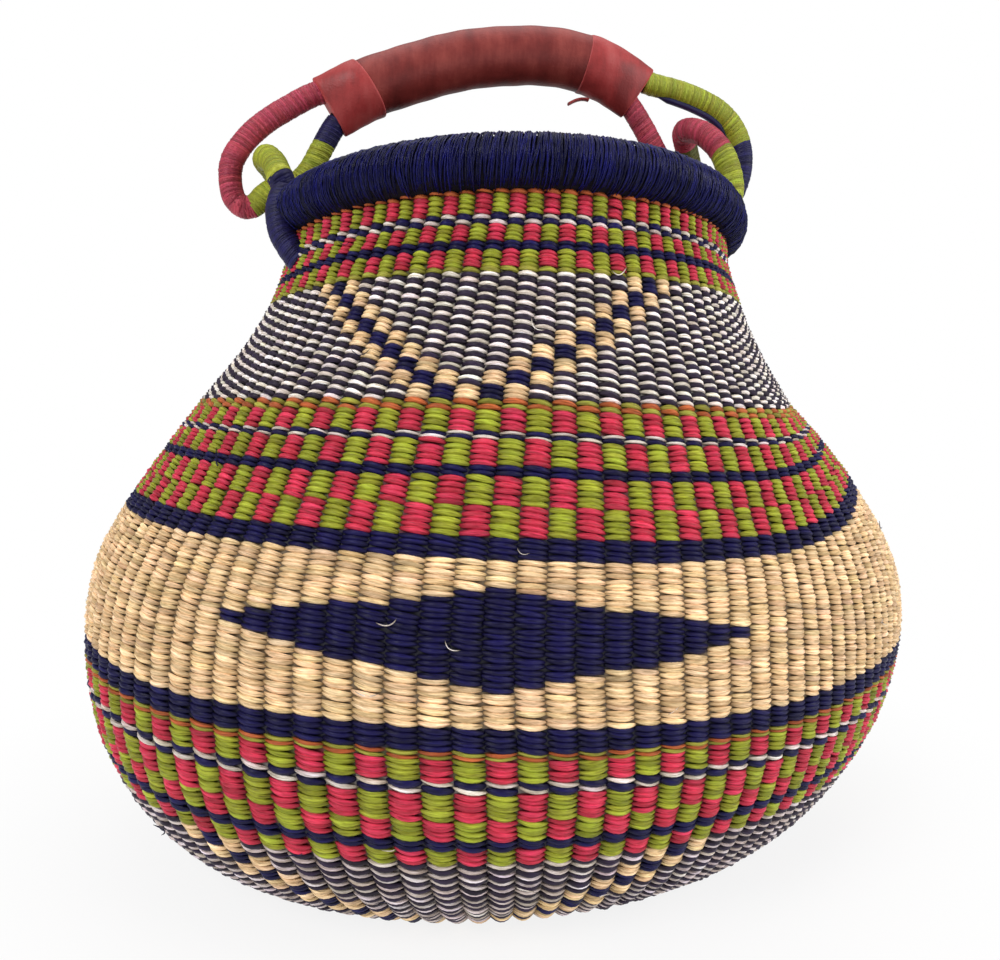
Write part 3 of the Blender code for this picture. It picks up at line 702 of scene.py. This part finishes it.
lining_finish, shader, strand = new_finish("lining_stitches", {"Roughness": 0.6})
chance, stitched = strand.attribute("chance"), strand.attribute("stitched")
parted = strand.node("ShaderNodeSeparateXYZ", {0: strand.node("ShaderNodeUVMap", uv_map="fibre")})
across = parted * 2.0 - 1.0
upward = parted.output("Y") * 2.0 - 1.0
# Painted shade: each lining stitch is lighter in its middle and darker towards its edges, as light falls on
# its relief
relief = stitched * ((1.0 - across * across * across * across) * (1.0 - upward * upward))
light = (relief * 0.75 + 0.35 + (1.0 - stitched) * 0.6) * ((chance - 0.5) * 0.3 + 1.0) * 0.85
painted_relief_shade = strand.node("ShaderNodeCombineColor", {0: light, 1: light, 2: light})
strand.attribute("straw_colour", "Color").dyed(painted_relief_shade).to(shader.inputs["Base Color"])
bump = strand.node("ShaderNodeBump", {"Strength": 0.9, "Distance": 0.0012, "Height": relief})
bump.to(shader.inputs["Normal"])
dress(lining, lining_finish, "pot", "natural_straw", "woven_pot")

# Rim
# The stakes' ends are bundled into a thick ring and bound over with thin navy grass. Two
# layers cross at a slant, and the binding ends in a ragged edge above the first row.

RIM_RADIUS = 0.1125
RIM_FOLD = 0.8
RIM_BINDING_R, RIM_OVER_R = 0.0110, 0.0114
RIM_STRAWS = 980
RIM_CROSSING = 520
RIM_NAVY = (0.0022, 0.0024, 0.050)
RIM_HEART_WIDE, RIM_HEART_TALL, RIM_HEART_DROP = 0.0100, 0.0106, 0.0008
RIM_SHADES = (0.4, 2.3)
GAP_SPREAD, LEAN_SPREAD, ROLL_SPREAD, STRAW_SPREAD = 0.16, 0.06, 0.10, 0.007
STRAW_SIDES = 4
HOOK_POINTS = 15
HOOK_SWEEP = (-84.0, 262.0)


def rim_height(angle):
    return RIM_HEIGHT - RIM_SADDLE * np.cos(2 * angle)


def rim_reach(angle):
    """The rim's middle line is pressed in a little with the neck under it."""
    return RIM_RADIUS + RIM_FOLD * soft_fold(angle, RIM_HEIGHT)


def face_outwards(thing):
    """Turns the faces of a closed body outwards, and smooths it."""
    builder = bmesh.new()
    builder.from_mesh(thing.data)
    bmesh.ops.recalc_face_normals(builder, faces=builder.faces)
    builder.to_mesh(thing.data)
    builder.free()
    thing.data.shade_smooth()


def closed_tube(name, rings, closed_loop=False):
    """Joins the rings to one closed body with its length and girth as UV, in metres and turns."""
    count, sides = rings.shape[:2]
    places = list(rings.reshape(-1, 3))
    middles = rings.mean(axis=1)
    run = run_of(middles)
    faces, marks = ring_faces(count, sides, closed_loop), []
    for ring in range(len(faces) // sides):
        end = run[ring + 1] if ring + 1 < count else run[-1] + run[1]
        for number in range(sides):
            marks.append(((run[ring], number / sides), (run[ring], (number + 1) / sides),
                          (end, (number + 1) / sides), (end, number / sides)))
    if not closed_loop:
        for ring, order in ((0, -1), (count - 1, 1)):
            places.append(middles[ring])
            for number in range(sides):
                after = (number + 1) % sides
                corner = (ring * sides + number, ring * sides + after, len(places) - 1)
                faces.append(corner[::order])
                marks.append(((run[ring], 0.0),) * 3)
    tube = loose_mesh(name, places, faces)
    fibre = tube.data.uv_layers.new(name="fibre")
    for face, corners in zip(tube.data.polygons, marks):
        for corner, place in zip(face.loop_indices, corners):
            fibre.data[corner].uv = place
    face_outwards(tube)
    return tube


heart_finish, shader, strand = new_finish("grass_heart", {"Roughness": 0.8, "Specular IOR Level": 0.1})
fibre = strand.node("ShaderNodeUVMap", uv_map="fibre")
place = strand.node("ShaderNodeVectorMath", {0: fibre, 1: (60.0, 30.0, 1.0)}, operation="MULTIPLY")
grass = strand.node("ShaderNodeTexNoise", {"Vector": place, "Scale": 1.0, "Detail": 3.0})
# Painted shade: the grass inside the rim and the ropes is near black, as the shade in the gaps between the
# straws
heart_painted_shade = ((0.35, (0.003, 0.003, 0.006)), (0.7, (0.012, 0.009, 0.014)))
strand.node("ShaderNodeValToRGB", {0: grass}, stops=heart_painted_shade).to(shader.inputs["Base Color"])

angle = np.linspace(0, 2 * math.pi, 120, endpoint=False)[:, None]
turn = np.linspace(0, 2 * math.pi, 16, endpoint=False)[None, :]
reach = rim_reach(angle) + RIM_HEART_WIDE * np.cos(turn)
height = rim_height(angle) - RIM_HEART_DROP + RIM_HEART_TALL * np.sin(turn)
rings = np.stack((reach * np.cos(angle), reach * np.sin(angle), height), axis=-1)
rim_heart = closed_tube("rim_heart", rings, closed_loop=True)
dress(rim_heart, heart_finish, "pot", "grass_core", "rim_core")


def bent_straw(name, line, radius, taper=0.35, streak_and_glint=1.0):
    """A thin closed straw along a line of points, thinner towards both ends."""
    ahead_line = unit(np.gradient(line, axis=0))
    across = unit(np.cross(ahead_line, np.array((0.0, 0.0, 1.0)) + 1e-6))
    upward = np.cross(across, ahead_line)
    share = np.linspace(-1, 1, len(line))
    girth = radius * (1.0 - (1.0 - taper) * np.abs(share) ** 6)
    turn = np.arange(STRAW_SIDES) * 2 * math.pi / STRAW_SIDES
    places = [p + g * (math.cos(a) * u + math.sin(a) * v)
              for p, u, v, g in zip(line, across, upward, girth) for a in turn]
    faces = [tuple(range(STRAW_SIDES))[::-1], tuple(range(len(places) - STRAW_SIDES, len(places)))]
    straw = loose_mesh(name, places, faces + ring_faces(len(line), STRAW_SIDES))
    fibre = straw.data.uv_layers.new(name="fibre")
    for number, face in enumerate(straw.data.polygons[2:]):
        ring, side = divmod(number, STRAW_SIDES)
        for corner, (forward, sideways) in zip(face.loop_indices, ((0, 0), (0, 1), (1, 1), (1, 0))):
            length_share = (ring + forward) / (len(line) - 1)
            fibre.data[corner].uv = (length_share * streak_and_glint, (side + sideways) / STRAW_SIDES)
    face_outwards(straw)
    return straw


def rim_hook(name, slant, radius):
    """A straw bent over a rim of radius 1, which moves along the rim on its way over."""
    sweep = np.radians(np.linspace(*HOOK_SWEEP, HOOK_POINTS))
    swing = np.sin(np.linspace(0, 2 * math.pi, HOOK_POINTS)) * 0.02 + np.linspace(slant, -slant, HOOK_POINTS)
    # Fine streaks along the binding straws, both fibres and painted glints.
    return bent_straw(name, np.stack((np.cos(sweep), np.sin(sweep), swing), axis=-1), radius, streak_and_glint=16.0)


def rim_straws(name, count, spread_seed, radius, slant, seed, straw, unruly=1.0):
    """Straws hooked over the rim, all the way round, with a little disorder."""
    spread = np.random.default_rng(spread_seed).normal(0, GAP_SPREAD, count)
    angle = (np.arange(count) + spread) * 2 * math.pi / count
    rng = np.random.default_rng(seed)
    radial = np.stack((np.cos(angle), np.sin(angle), np.zeros(count)), axis=-1)
    tangent = np.stack((-np.sin(angle), np.cos(angle), np.zeros(count)), axis=-1)
    lean = rng.normal(slant, LEAN_SPREAD * unruly, count)[:, None]
    roll = rng.normal(0.0, ROLL_SPREAD * unruly, count)[:, None]
    upward = turned_pair(np.array((0.0, 0.0, 1.0)), tangent, lean)[0]
    radial, upward = turned_pair(radial, upward, roll)
    reach = rim_reach(angle)
    places = np.stack((reach * np.cos(angle), reach * np.sin(angle), rim_height(angle)), axis=-1)
    sizes = np.repeat((radius * rng.normal(1.0, STRAW_SPREAD, count))[:, None], 3, axis=1)
    shades = np.array(RIM_NAVY) * rng.uniform(*RIM_SHADES, count)[:, None]
    return lay_straws(name, places, as_turns(radial, upward, np.cross(radial, upward)), sizes, shades, straw,
                      rim_finish, "pot", "navy_straw", ruffle=0.02, seed=seed)


rim_finish = grass_finish("navy_binding", 0.32, 3.5, 1.0, 0.26)
hook = rim_hook("rim_hook", slant=0.22, radius=0.038)
crossing = rim_hook("rim_crossing", slant=0.50, radius=0.032)
binding = rim_straws("rim_binding_under", RIM_STRAWS, 303, RIM_BINDING_R, slant=0.04, seed=301, straw=hook)
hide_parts("rim_whipping_navy")
rim_straws("rim_binding_over", RIM_CROSSING, 304, RIM_OVER_R, slant=-0.06, seed=302, straw=crossing,
           unruly=1.6)

# Loose ends
# Here and there the end of a grass blade has sprung out of the weave. It is natural or navy,
# about a centimetre long and curled. A few that show well in front have their own places.

LOOSE_ENDS = 60
LOOSE_LENGTHS = (0.005, 0.011)
LOOSE_TURN = 0.7
FRONT_ARCS, FRONT_STAKES = (0.2015, 0.166, 0.148, 0.300), (0.6, -1.5, -4.0, 0.5)
rng = np.random.default_rng(77)
loose_arc = rng.uniform(0.03, WALL_LENGTH - 0.01, LOOSE_ENDS)
loose_stake = rng.uniform(-STAKES / 2, STAKES / 2, LOOSE_ENDS)
loose_arc[:len(FRONT_ARCS)] = FRONT_ARCS
loose_stake[:len(FRONT_STAKES)] = FRONT_STAKES
loose_arc, loose_angle = settled(loose_arc, loose_stake)
along, upward, outward = wall_frame(loose_arc, loose_angle)
along, upward = turned_pair(along, upward, rng.uniform(-LOOSE_TURN, LOOSE_TURN, (LOOSE_ENDS, 1)))
curl = np.linspace(-1.0, 1.0, 9)
curled_line = np.stack((curl * 0.5, 0.25 * curl ** 2, 0.16 * curl ** 2 + 0.02), axis=-1)
loose_end = bent_straw("loose_end", curled_line, 0.028, taper=0.3)
loose_shades = np.where(rng.random((LOOSE_ENDS, 1)) < 0.5, np.array(WHITENED), np.array(NAVY))
loose_shades[:3] = WHITENED
loose_sizes = np.repeat(rng.uniform(*LOOSE_LENGTHS, (LOOSE_ENDS, 1)), 3, axis=1)
lay_straws("loose_ends", wall_place(loose_arc, loose_angle), as_turns(along, upward, outward), loose_sizes,
           loose_shades, loose_end, wall_finish, "pot", "natural_straw", ruffle=0.2, seed=78)

# Ears
# At each end of the rim an arch of grass rope rises from the binding. It is wound tightly
# with dyed grass, one colour after another, and the handle's loop runs under it.

EAR_R = 0.0064
TURN_PITCH = 0.00095
LEFT_EAR_HALF = ((-0.1153, -0.0246, 0.3190), (-0.1177, -0.0251, 0.3244), (-0.1205, -0.0174, 0.3312),
                 (-0.1240, -0.0099, 0.3356), (-0.1259, 0.0, 0.3365))
RIGHT_EAR_HALF = ((0.1114, -0.0238, 0.3200), (0.1126, -0.0241, 0.3320), (0.1084, -0.0207, 0.3482),
                  (0.1013, -0.0122, 0.3602), (0.0955, 0.0, 0.3650))
LEFT_TAIL_LINE = ((-0.1150, -0.0285, 0.3160), (-0.1172, -0.0325, 0.3060), (-0.1160, -0.0360, 0.2960),
                  (-0.1120, -0.0385, 0.2880), (-0.1070, -0.0400, 0.2810))
ROPE_GREEN = (0.33, 0.36, 0.030)
ROPE_RED = (0.42, 0.048, 0.080)
ROPE_NAVY = (0.012, 0.010, 0.070)
ROPE_OLIVE = (0.15, 0.16, 0.028)
HEART_SHARE, HEART_SIDES = 0.9, 14
TURN_LEAN = 0.16
TURN_SHADES, TURN_TINTS = (0.72, 1.20), (0.02, 0.05, 0.05)
RADIUS_SPREAD, PITCH_SPREAD, BEND_GROWTH = 0.012, 0.08, 0.9
TURN_SIDES = 14
TURN_REACH, TURN_DEPTH, TURN_RISE = 0.935, 0.07, 0.85


def places_at(wanted, run, line):
    """The points of a line at the wanted places of its run."""
    return np.stack([np.interp(wanted, run, line[:, axis]) for axis in range(3)], axis=-1)


def evenly(line, count):
    """The same line with its points spaced evenly, and its length."""
    run = run_of(line)
    return places_at(np.linspace(0.0, run[-1], count), run, line), run[-1]


def swept_tube(line, wide, thick, side, sides):
    """Rings round a line, with a half width and a half thickness at each of its points."""
    ahead_line = unit(np.gradient(line, axis=0))
    side = np.array(side)
    side = unit(side - ahead_line * (ahead_line @ side)[:, None])
    upward = np.cross(side, ahead_line)
    turn = (np.arange(sides) * 2 * math.pi / sides)[None, :, None]
    return line[:, None, :] + (wide[:, None, None] * np.cos(turn) * upward[:, None, :]
                               + thick[:, None, None] * np.sin(turn) * side[:, None, :])


def rope_heart(name, line, count, radius, side, body, *nodes):
    """The grass inside a rope, which shows between its turns, coloured near black as painted shade."""
    half = np.full(count, radius * HEART_SHARE)
    heart = closed_tube(name, swept_tube(evenly(line, count)[0], half, half, side, HEART_SIDES))
    dress(heart, heart_finish, body, "grass_core", *nodes)


def wind_rope(name, line, start, stop, radius, paint, body, slot, seed):
    """Turns of dyed grass round part of a rope, coloured by how far along the rope they lie."""
    rng = np.random.default_rng(seed)
    fine, length = evenly(line, 600)
    count = round(length * (stop - start) / TURN_PITCH)
    run = np.linspace(start + 0.5 * TURN_PITCH / length, stop - 0.5 * TURN_PITCH / length, count)
    share, steps = run * (len(fine) - 1), np.arange(len(fine))
    places = places_at(share, steps, fine)
    along = unit(places_at(share, steps, np.gradient(fine, axis=0)))
    bend = np.linalg.norm(np.gradient(along, axis=0), axis=1) / TURN_PITCH
    helper = unit(np.cross(along, np.array((0.13, 0.95, 0.28))))
    tilted = unit(along * math.cos(TURN_LEAN) + helper * math.sin(TURN_LEAN))
    side = unit(np.cross(tilted, helper))
    sizes = np.stack((
        rng.normal(radius, radius * RADIUS_SPREAD, count),
        rng.normal(radius, radius * RADIUS_SPREAD, count),
        rng.normal(TURN_PITCH, TURN_PITCH * PITCH_SPREAD, count) * (1.0 + bend * radius * BEND_GROWTH),
    ), axis=-1)
    ends, shades = zip(*paint)
    dyed = np.array(shades)[np.searchsorted(ends, run)]
    dyed = dyed * rng.uniform(*TURN_SHADES, count)[:, None] * rng.normal(1, TURN_TINTS, (count, 3))
    return lay_straws(name, places, as_turns(side, np.cross(tilted, side), tilted), sizes, dyed, rope_turn,
                      rope_finish, body, slot, seed=seed)


def wind_lengths(nodes_start, line, radius, paint, body, lengths, seed):
    """One piece of turns for each wound length of a rope, in place of its CAD node."""
    for number, (name, start, stop) in enumerate(lengths):
        slot = name.split("_")[-1] + "_straw"
        turns = wind_rope(f"{nodes_start}_{name}_turns", line, start, stop, radius, paint, body, slot,
                          seed + number + len(name))
        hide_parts(f"{nodes_start}_{name}")


rope_finish = grass_finish("wound_rope_grass", 0.50, 1.3, 0.6, 0.3)
rings = []
for a in np.arange(TURN_SIDES) * 2 * math.pi / TURN_SIDES:
    outward = np.array((math.cos(a), math.sin(a), 0.0))
    rings.append([outward * TURN_REACH + outward * TURN_DEPTH * math.cos(b)
                  + np.array((0, 0, TURN_RISE * math.sin(b)))
                  for b in (math.pi / 4, 3 * math.pi / 4, 5 * math.pi / 4, 7 * math.pi / 4)])
rope_turn = closed_tube("rope_turn", np.array(rings), closed_loop=True)
for corner in rope_turn.data.uv_layers["fibre"].data:
    corner.uv = (corner.uv[0] * 1.6, corner.uv[1])

# The near half of each ear, its colours with the share of the rope where each ends, and the
# lengths of the rope that are CAD nodes
for end, near_half, paint, lengths in (
    ("left", LEFT_EAR_HALF, ((0.07, ROPE_NAVY), (0.765, ROPE_GREEN), (1.0, ROPE_NAVY)),
     (("near_foot_navy", 0.0, 0.235), ("arch_green", 0.235, 0.765), ("far_foot_navy", 0.765, 1.0))),
    ("right", RIGHT_EAR_HALF, ((0.25, ROPE_GREEN), (0.60, ROPE_RED), (1.0, ROPE_OLIVE)),
     (("near_foot_green", 0.0, 0.33), ("arch_red", 0.33, 0.69), ("far_foot_olive", 0.69, 1.0))),
):
    ear_curve = smooth_line(near_half + tuple((x, -y, z) for x, y, z in near_half[-2::-1]), 16)
    rope_heart(f"{end}_ear_heart", ear_curve, 40, EAR_R, (1.0, 0.0, 0.0), "pot", f"{end}_ear_core")
    wind_lengths(f"{end}_ear", ear_curve, EAR_R, paint, "pot", lengths, 400)

# A bundle of the left ear's navy ends hangs over the rim and is tucked into the wall
tail_curve = smooth_line(LEFT_TAIL_LINE, 12)
wind_rope("left_foot_tail", tail_curve, 0.0, 1.0, EAR_R, ((1.0, ROPE_NAVY),), "pot", "navy_straw", 421)

# Handle ropes
# The handle is one bundle of grass that splits at both ends of the grip. Each end makes a
# loop under its ear. The loops are wound like the ears, in navy, green and red.

LEG_R = 0.0058
LEFT_LOOP_LINE = ((-0.0840, 0.3646), (-0.0919, 0.3553), (-0.0984, 0.3438), (-0.1045, 0.3329),
                  (-0.1107, 0.3266), (-0.1186, 0.3246), (-0.1260, 0.3203), (-0.1315, 0.3146),
                  (-0.1371, 0.3135), (-0.1417, 0.3180), (-0.1432, 0.3275), (-0.1417, 0.3365),
                  (-0.1352, 0.3464), (-0.1260, 0.3552), (-0.1143, 0.3632), (-0.1011, 0.3707),
                  (-0.0891, 0.3733))
RIGHT_LOOP_LINE = ((0.0577, 0.3834), (0.0655, 0.3741), (0.0717, 0.3653), (0.0777, 0.3557), (0.0843, 0.3451),
                   (0.0918, 0.3345), (0.1003, 0.3275), (0.1091, 0.3250), (0.1176, 0.3261), (0.1239, 0.3317),
                   (0.1275, 0.3395), (0.1292, 0.3485), (0.1283, 0.3580), (0.1241, 0.3675), (0.1149, 0.3765),
                   (0.1013, 0.3826), (0.0880, 0.3860), (0.0745, 0.3883), (0.0627, 0.3914))
STRAND_FIRST, STRAND_POINTS = 78, 34
STRAND_HALF = 0.0016
STRAND_STAND_OFF = 0.0004
RIGHT_LOOP_MIDDLE = (0.0900, 0.0, 0.3500)


def upright(line):
    """A line in the handle's own plane, from its places along X and up."""
    return [(x, 0.0, z) for x, z in line]


# Each loop's line, colours and lengths, as for the ears
for end, loop_line, paint, lengths in (
    ("left", LEFT_LOOP_LINE, ((0.135, ROPE_NAVY), (0.43, ROPE_GREEN), (1.0, ROPE_RED)),
     (("inner_leg_navy", 0.055, 0.135), ("link_green", 0.135, 0.555), ("outer_leg_red", 0.555, 0.945))),
    ("right", RIGHT_LOOP_LINE, ((0.43, ROPE_RED), (0.625, ROPE_NAVY), (1.0, ROPE_GREEN)),
     (("inner_leg_red", 0.045, 0.430), ("link_navy", 0.430, 0.625), ("outer_leg_green", 0.625, 0.955))),
):
    loop_curve = smooth_line(upright(loop_line), 12)
    rope_heart(f"{end}_loop_heart", loop_curve, 90, LEG_R, (0.0, 1.0, 0.0), "handle")
    wind_lengths(end, loop_curve, LEG_R, paint, "handle", lengths, 430)

# A thin dark navy strip runs along the inside of the right outer leg
navy_line = evenly(loop_curve, 120)[0][STRAND_FIRST:STRAND_FIRST + STRAND_POINTS]
navy_line = navy_line + unit(np.array(RIGHT_LOOP_MIDDLE) - navy_line) * (LEG_R + STRAND_STAND_OFF)
from_end = np.minimum(np.arange(STRAND_POINTS), np.arange(STRAND_POINTS)[::-1])
thin = STRAND_HALF * np.clip(from_end / 5.0, 0.15, 1.0)
strip = closed_tube("right_leg_strip", swept_tube(navy_line, thin, thin * 1.5, (0.0, 1.0, 0.0), 10))
strip_finish, shader, strand = new_finish("navy_strand", {"Base Color": (*ROPE_NAVY, 1.0), "Roughness": 0.5})
dress(strip, strip_finish, "handle", "navy_straw")

# Leather grip
# The middle of the handle is wrapped in thin red-brown goatskin, pulled tight while wet. A
# collar on the left and a wrap over the right fork lap its ends. A thong's end sticks out.

GRIP_LINE = ((-0.0965, 0.3630), (-0.0843, 0.3703), (-0.0715, 0.3767), (-0.0582, 0.3819), (-0.0448, 0.3868),
             (-0.0312, 0.3912), (-0.0173, 0.3944), (-0.0032, 0.3964), (0.0111, 0.3978), (0.0253, 0.3976),
             (0.0394, 0.3953), (0.0529, 0.3909), (0.0655, 0.3841), (0.0700, 0.3812))
LEATHER_R = 0.0141
LEFT_COLLAR_R = 0.0152
RIGHT_FORK_R = 0.0146
GRIP_END_HALF, COLLAR_END_HALF = 0.0058, 0.0070
LEFT_COLLAR = 0.0230
RIGHT_COLLAR = 0.0300
COLLAR_LAP = 0.0060
LEFT_SPREAD, RIGHT_SPREAD = 0.0090, 0.0084
LEATHER_RED = (0.195, 0.024, 0.021)
COLLAR_RED = (0.38, 0.040, 0.040)
LEATHER_PALE = (0.33, 0.060, 0.048)
COLLAR_PALE = (0.47, 0.085, 0.080)
SKIN = 0.0012
SKIN_RINGS, SKIN_SIDES = 70, 40
LUMPS, LUMP_DEPTH = 9, 0.006
PALE_EDGE = 0.0009
END_SETBACK = 0.012
LEFT_COLLAR_CUT = 0.0065
grip_line, grip_length = evenly(smooth_line(upright(GRIP_LINE), 12), 240)


def grip_girth(share, radius, end_half):
    """Half width and half thickness along the grip: round, but flat and wide at both forks."""
    left = np.maximum(1.0 - share * grip_length / LEFT_COLLAR, 0.0) ** 1.4
    right = np.maximum(1.0 - (1.0 - share) * grip_length / RIGHT_COLLAR, 0.0) ** 1.4
    wide = radius + (LEFT_SPREAD + end_half - radius) * left + (RIGHT_SPREAD + end_half - radius) * right
    return wide, radius + (end_half - radius) * np.maximum(left, right)


def leather_finish(name, shade, pale):
    """Tanned skin: soft blotches, a fine pebbled grain, thin creases and paler cut edges."""
    material, shader, strand = new_finish(name, {"Specular IOR Level": 0.32})
    place = strand.node("ShaderNodeTexCoord", out="Object")
    blotch = strand.node("ShaderNodeTexNoise", {"Vector": place, "Scale": 45.0, "Detail": 4.0,
                                                "Roughness": 0.6})
    grain = strand.node("ShaderNodeTexNoise", {"Vector": place, "Scale": 900.0, "Detail": 3.0})
    pebble = strand.node("ShaderNodeTexVoronoi", {"Vector": place, "Scale": 1100.0})
    place = strand.node("ShaderNodeMapping", {"Vector": place, "Scale": (70.0, 14.0, 14.0),
                                              "Rotation": (0.0, 0.35, 0.2)})
    crease = strand.node("ShaderNodeTexNoise", {"Vector": place, "Scale": 1.0, "Detail": 5.0,
                                                "Roughness": 0.65})
    stops = ((0.38, tuple(part * 0.55 for part in shade)), (0.50, shade), (0.66, pale))
    colour = strand.node("ShaderNodeValToRGB", {0: (blotch + crease) * 0.5}, stops=stops)
    raw = (*(part * 1.9 for part in pale), 1.0)
    strand.node("ShaderNodeMix", {0: strand.attribute("cut_edge") * 0.4, "A": colour, "B": raw},
                out=2, data_type="RGBA").to(shader.inputs["Base Color"])
    (blotch * 0.25 + 0.36).to(shader.inputs["Roughness"])
    relief = crease * 1.2 + grain * 0.25 + pebble * 0.2
    bump = strand.node("ShaderNodeBump", {"Strength": 0.5, "Distance": 0.0006, "Height": relief})
    bump.to(shader.inputs["Normal"])
    return material


def wrap_leather(name, start, stop, radius, end_half, finish, slot, nodes, seed, cut=0.0):
    """Leather drawn round part of the grip, with soft lumps, rolled edges and a slanting cut."""
    rng = np.random.default_rng(seed)
    share = np.linspace(start, stop, SKIN_RINGS)
    edge = np.minimum(share - start, stop - share) * grip_length
    roll = np.clip(edge / SKIN, 0.0, 1.0)
    inset = -SKIN * (1.0 - np.sqrt(np.clip(1.0 - (1.0 - roll) ** 2, 0.0, 1.0)))
    wide, thick = grip_girth(share, radius, end_half)
    line = places_at(share, np.linspace(0, 1, len(grip_line)), grip_line)
    middle = line[:, None, :]
    rings = swept_tube(line, wide + inset, thick + inset, (0.0, 1.0, 0.0), SKIN_SIDES)
    around = np.arange(SKIN_SIDES) * 2 * math.pi / SKIN_SIDES
    lumps = np.zeros((SKIN_RINGS, SKIN_SIDES))
    for number in range(LUMPS):
        lumps += rng.normal(0, 0.4) * np.sin(around[None, :] * rng.integers(1, 4)
                                             + share[:, None] * rng.uniform(20, 120) + rng.uniform(0, 6.28))
    higher = (rings - middle)[..., 2:] / radius
    rings = middle + (rings - middle) * (1.0 + LUMP_DEPTH * lumps * roll[:, None])[..., None]
    sloping = np.linspace(0.0, cut / 2, SKIN_RINGS)[:, None, None] * (1.0 + higher)
    rings = rings - sloping * unit(np.gradient(line, axis=0))[:, None, :]
    piece = closed_tube(name, rings)
    pale_ring = np.repeat(np.clip(1.0 - edge / PALE_EDGE, 0.0, 1.0), SKIN_SIDES)
    mark(piece.data, "cut_edge", "FLOAT", np.concatenate((pale_ring, (1.0, 1.0))))
    dress(piece, finish, "handle", slot, *nodes)


grip_finish = leather_finish("grip_leather", LEATHER_RED, LEATHER_PALE)
collar_finish = leather_finish("collar_leather", COLLAR_RED, COLLAR_PALE)
left_share, right_share = LEFT_COLLAR / grip_length, RIGHT_COLLAR / grip_length
lap = COLLAR_LAP / grip_length
wrap_leather("grip_skin", left_share * 0.6, 1.0 - right_share, LEATHER_R, GRIP_END_HALF, grip_finish,
             "red_leather", ("leather_grip", "handle_core"), 11)
wrap_leather("left_collar_skin", END_SETBACK, left_share + lap, LEFT_COLLAR_R, COLLAR_END_HALF, collar_finish,
             "collar_leather", ("left_leather_collar",), 12, LEFT_COLLAR_CUT)
wrap_leather("right_fork_skin", 1.0 - right_share - lap, 1.0 - END_SETBACK, RIGHT_FORK_R, COLLAR_END_HALF,
             collar_finish, "collar_leather", ("right_leather_fork",), 13)
tie = bpy.data.objects["leather_tie_end"]
tie.data.materials.clear()
tie.data.materials.append(collar_finish)

# Finish
# The single straws that were set on points are taken away.

for straw in (wall_grain, hook, crossing, loose_end, rope_turn):
    bpy.data.objects.remove(straw)
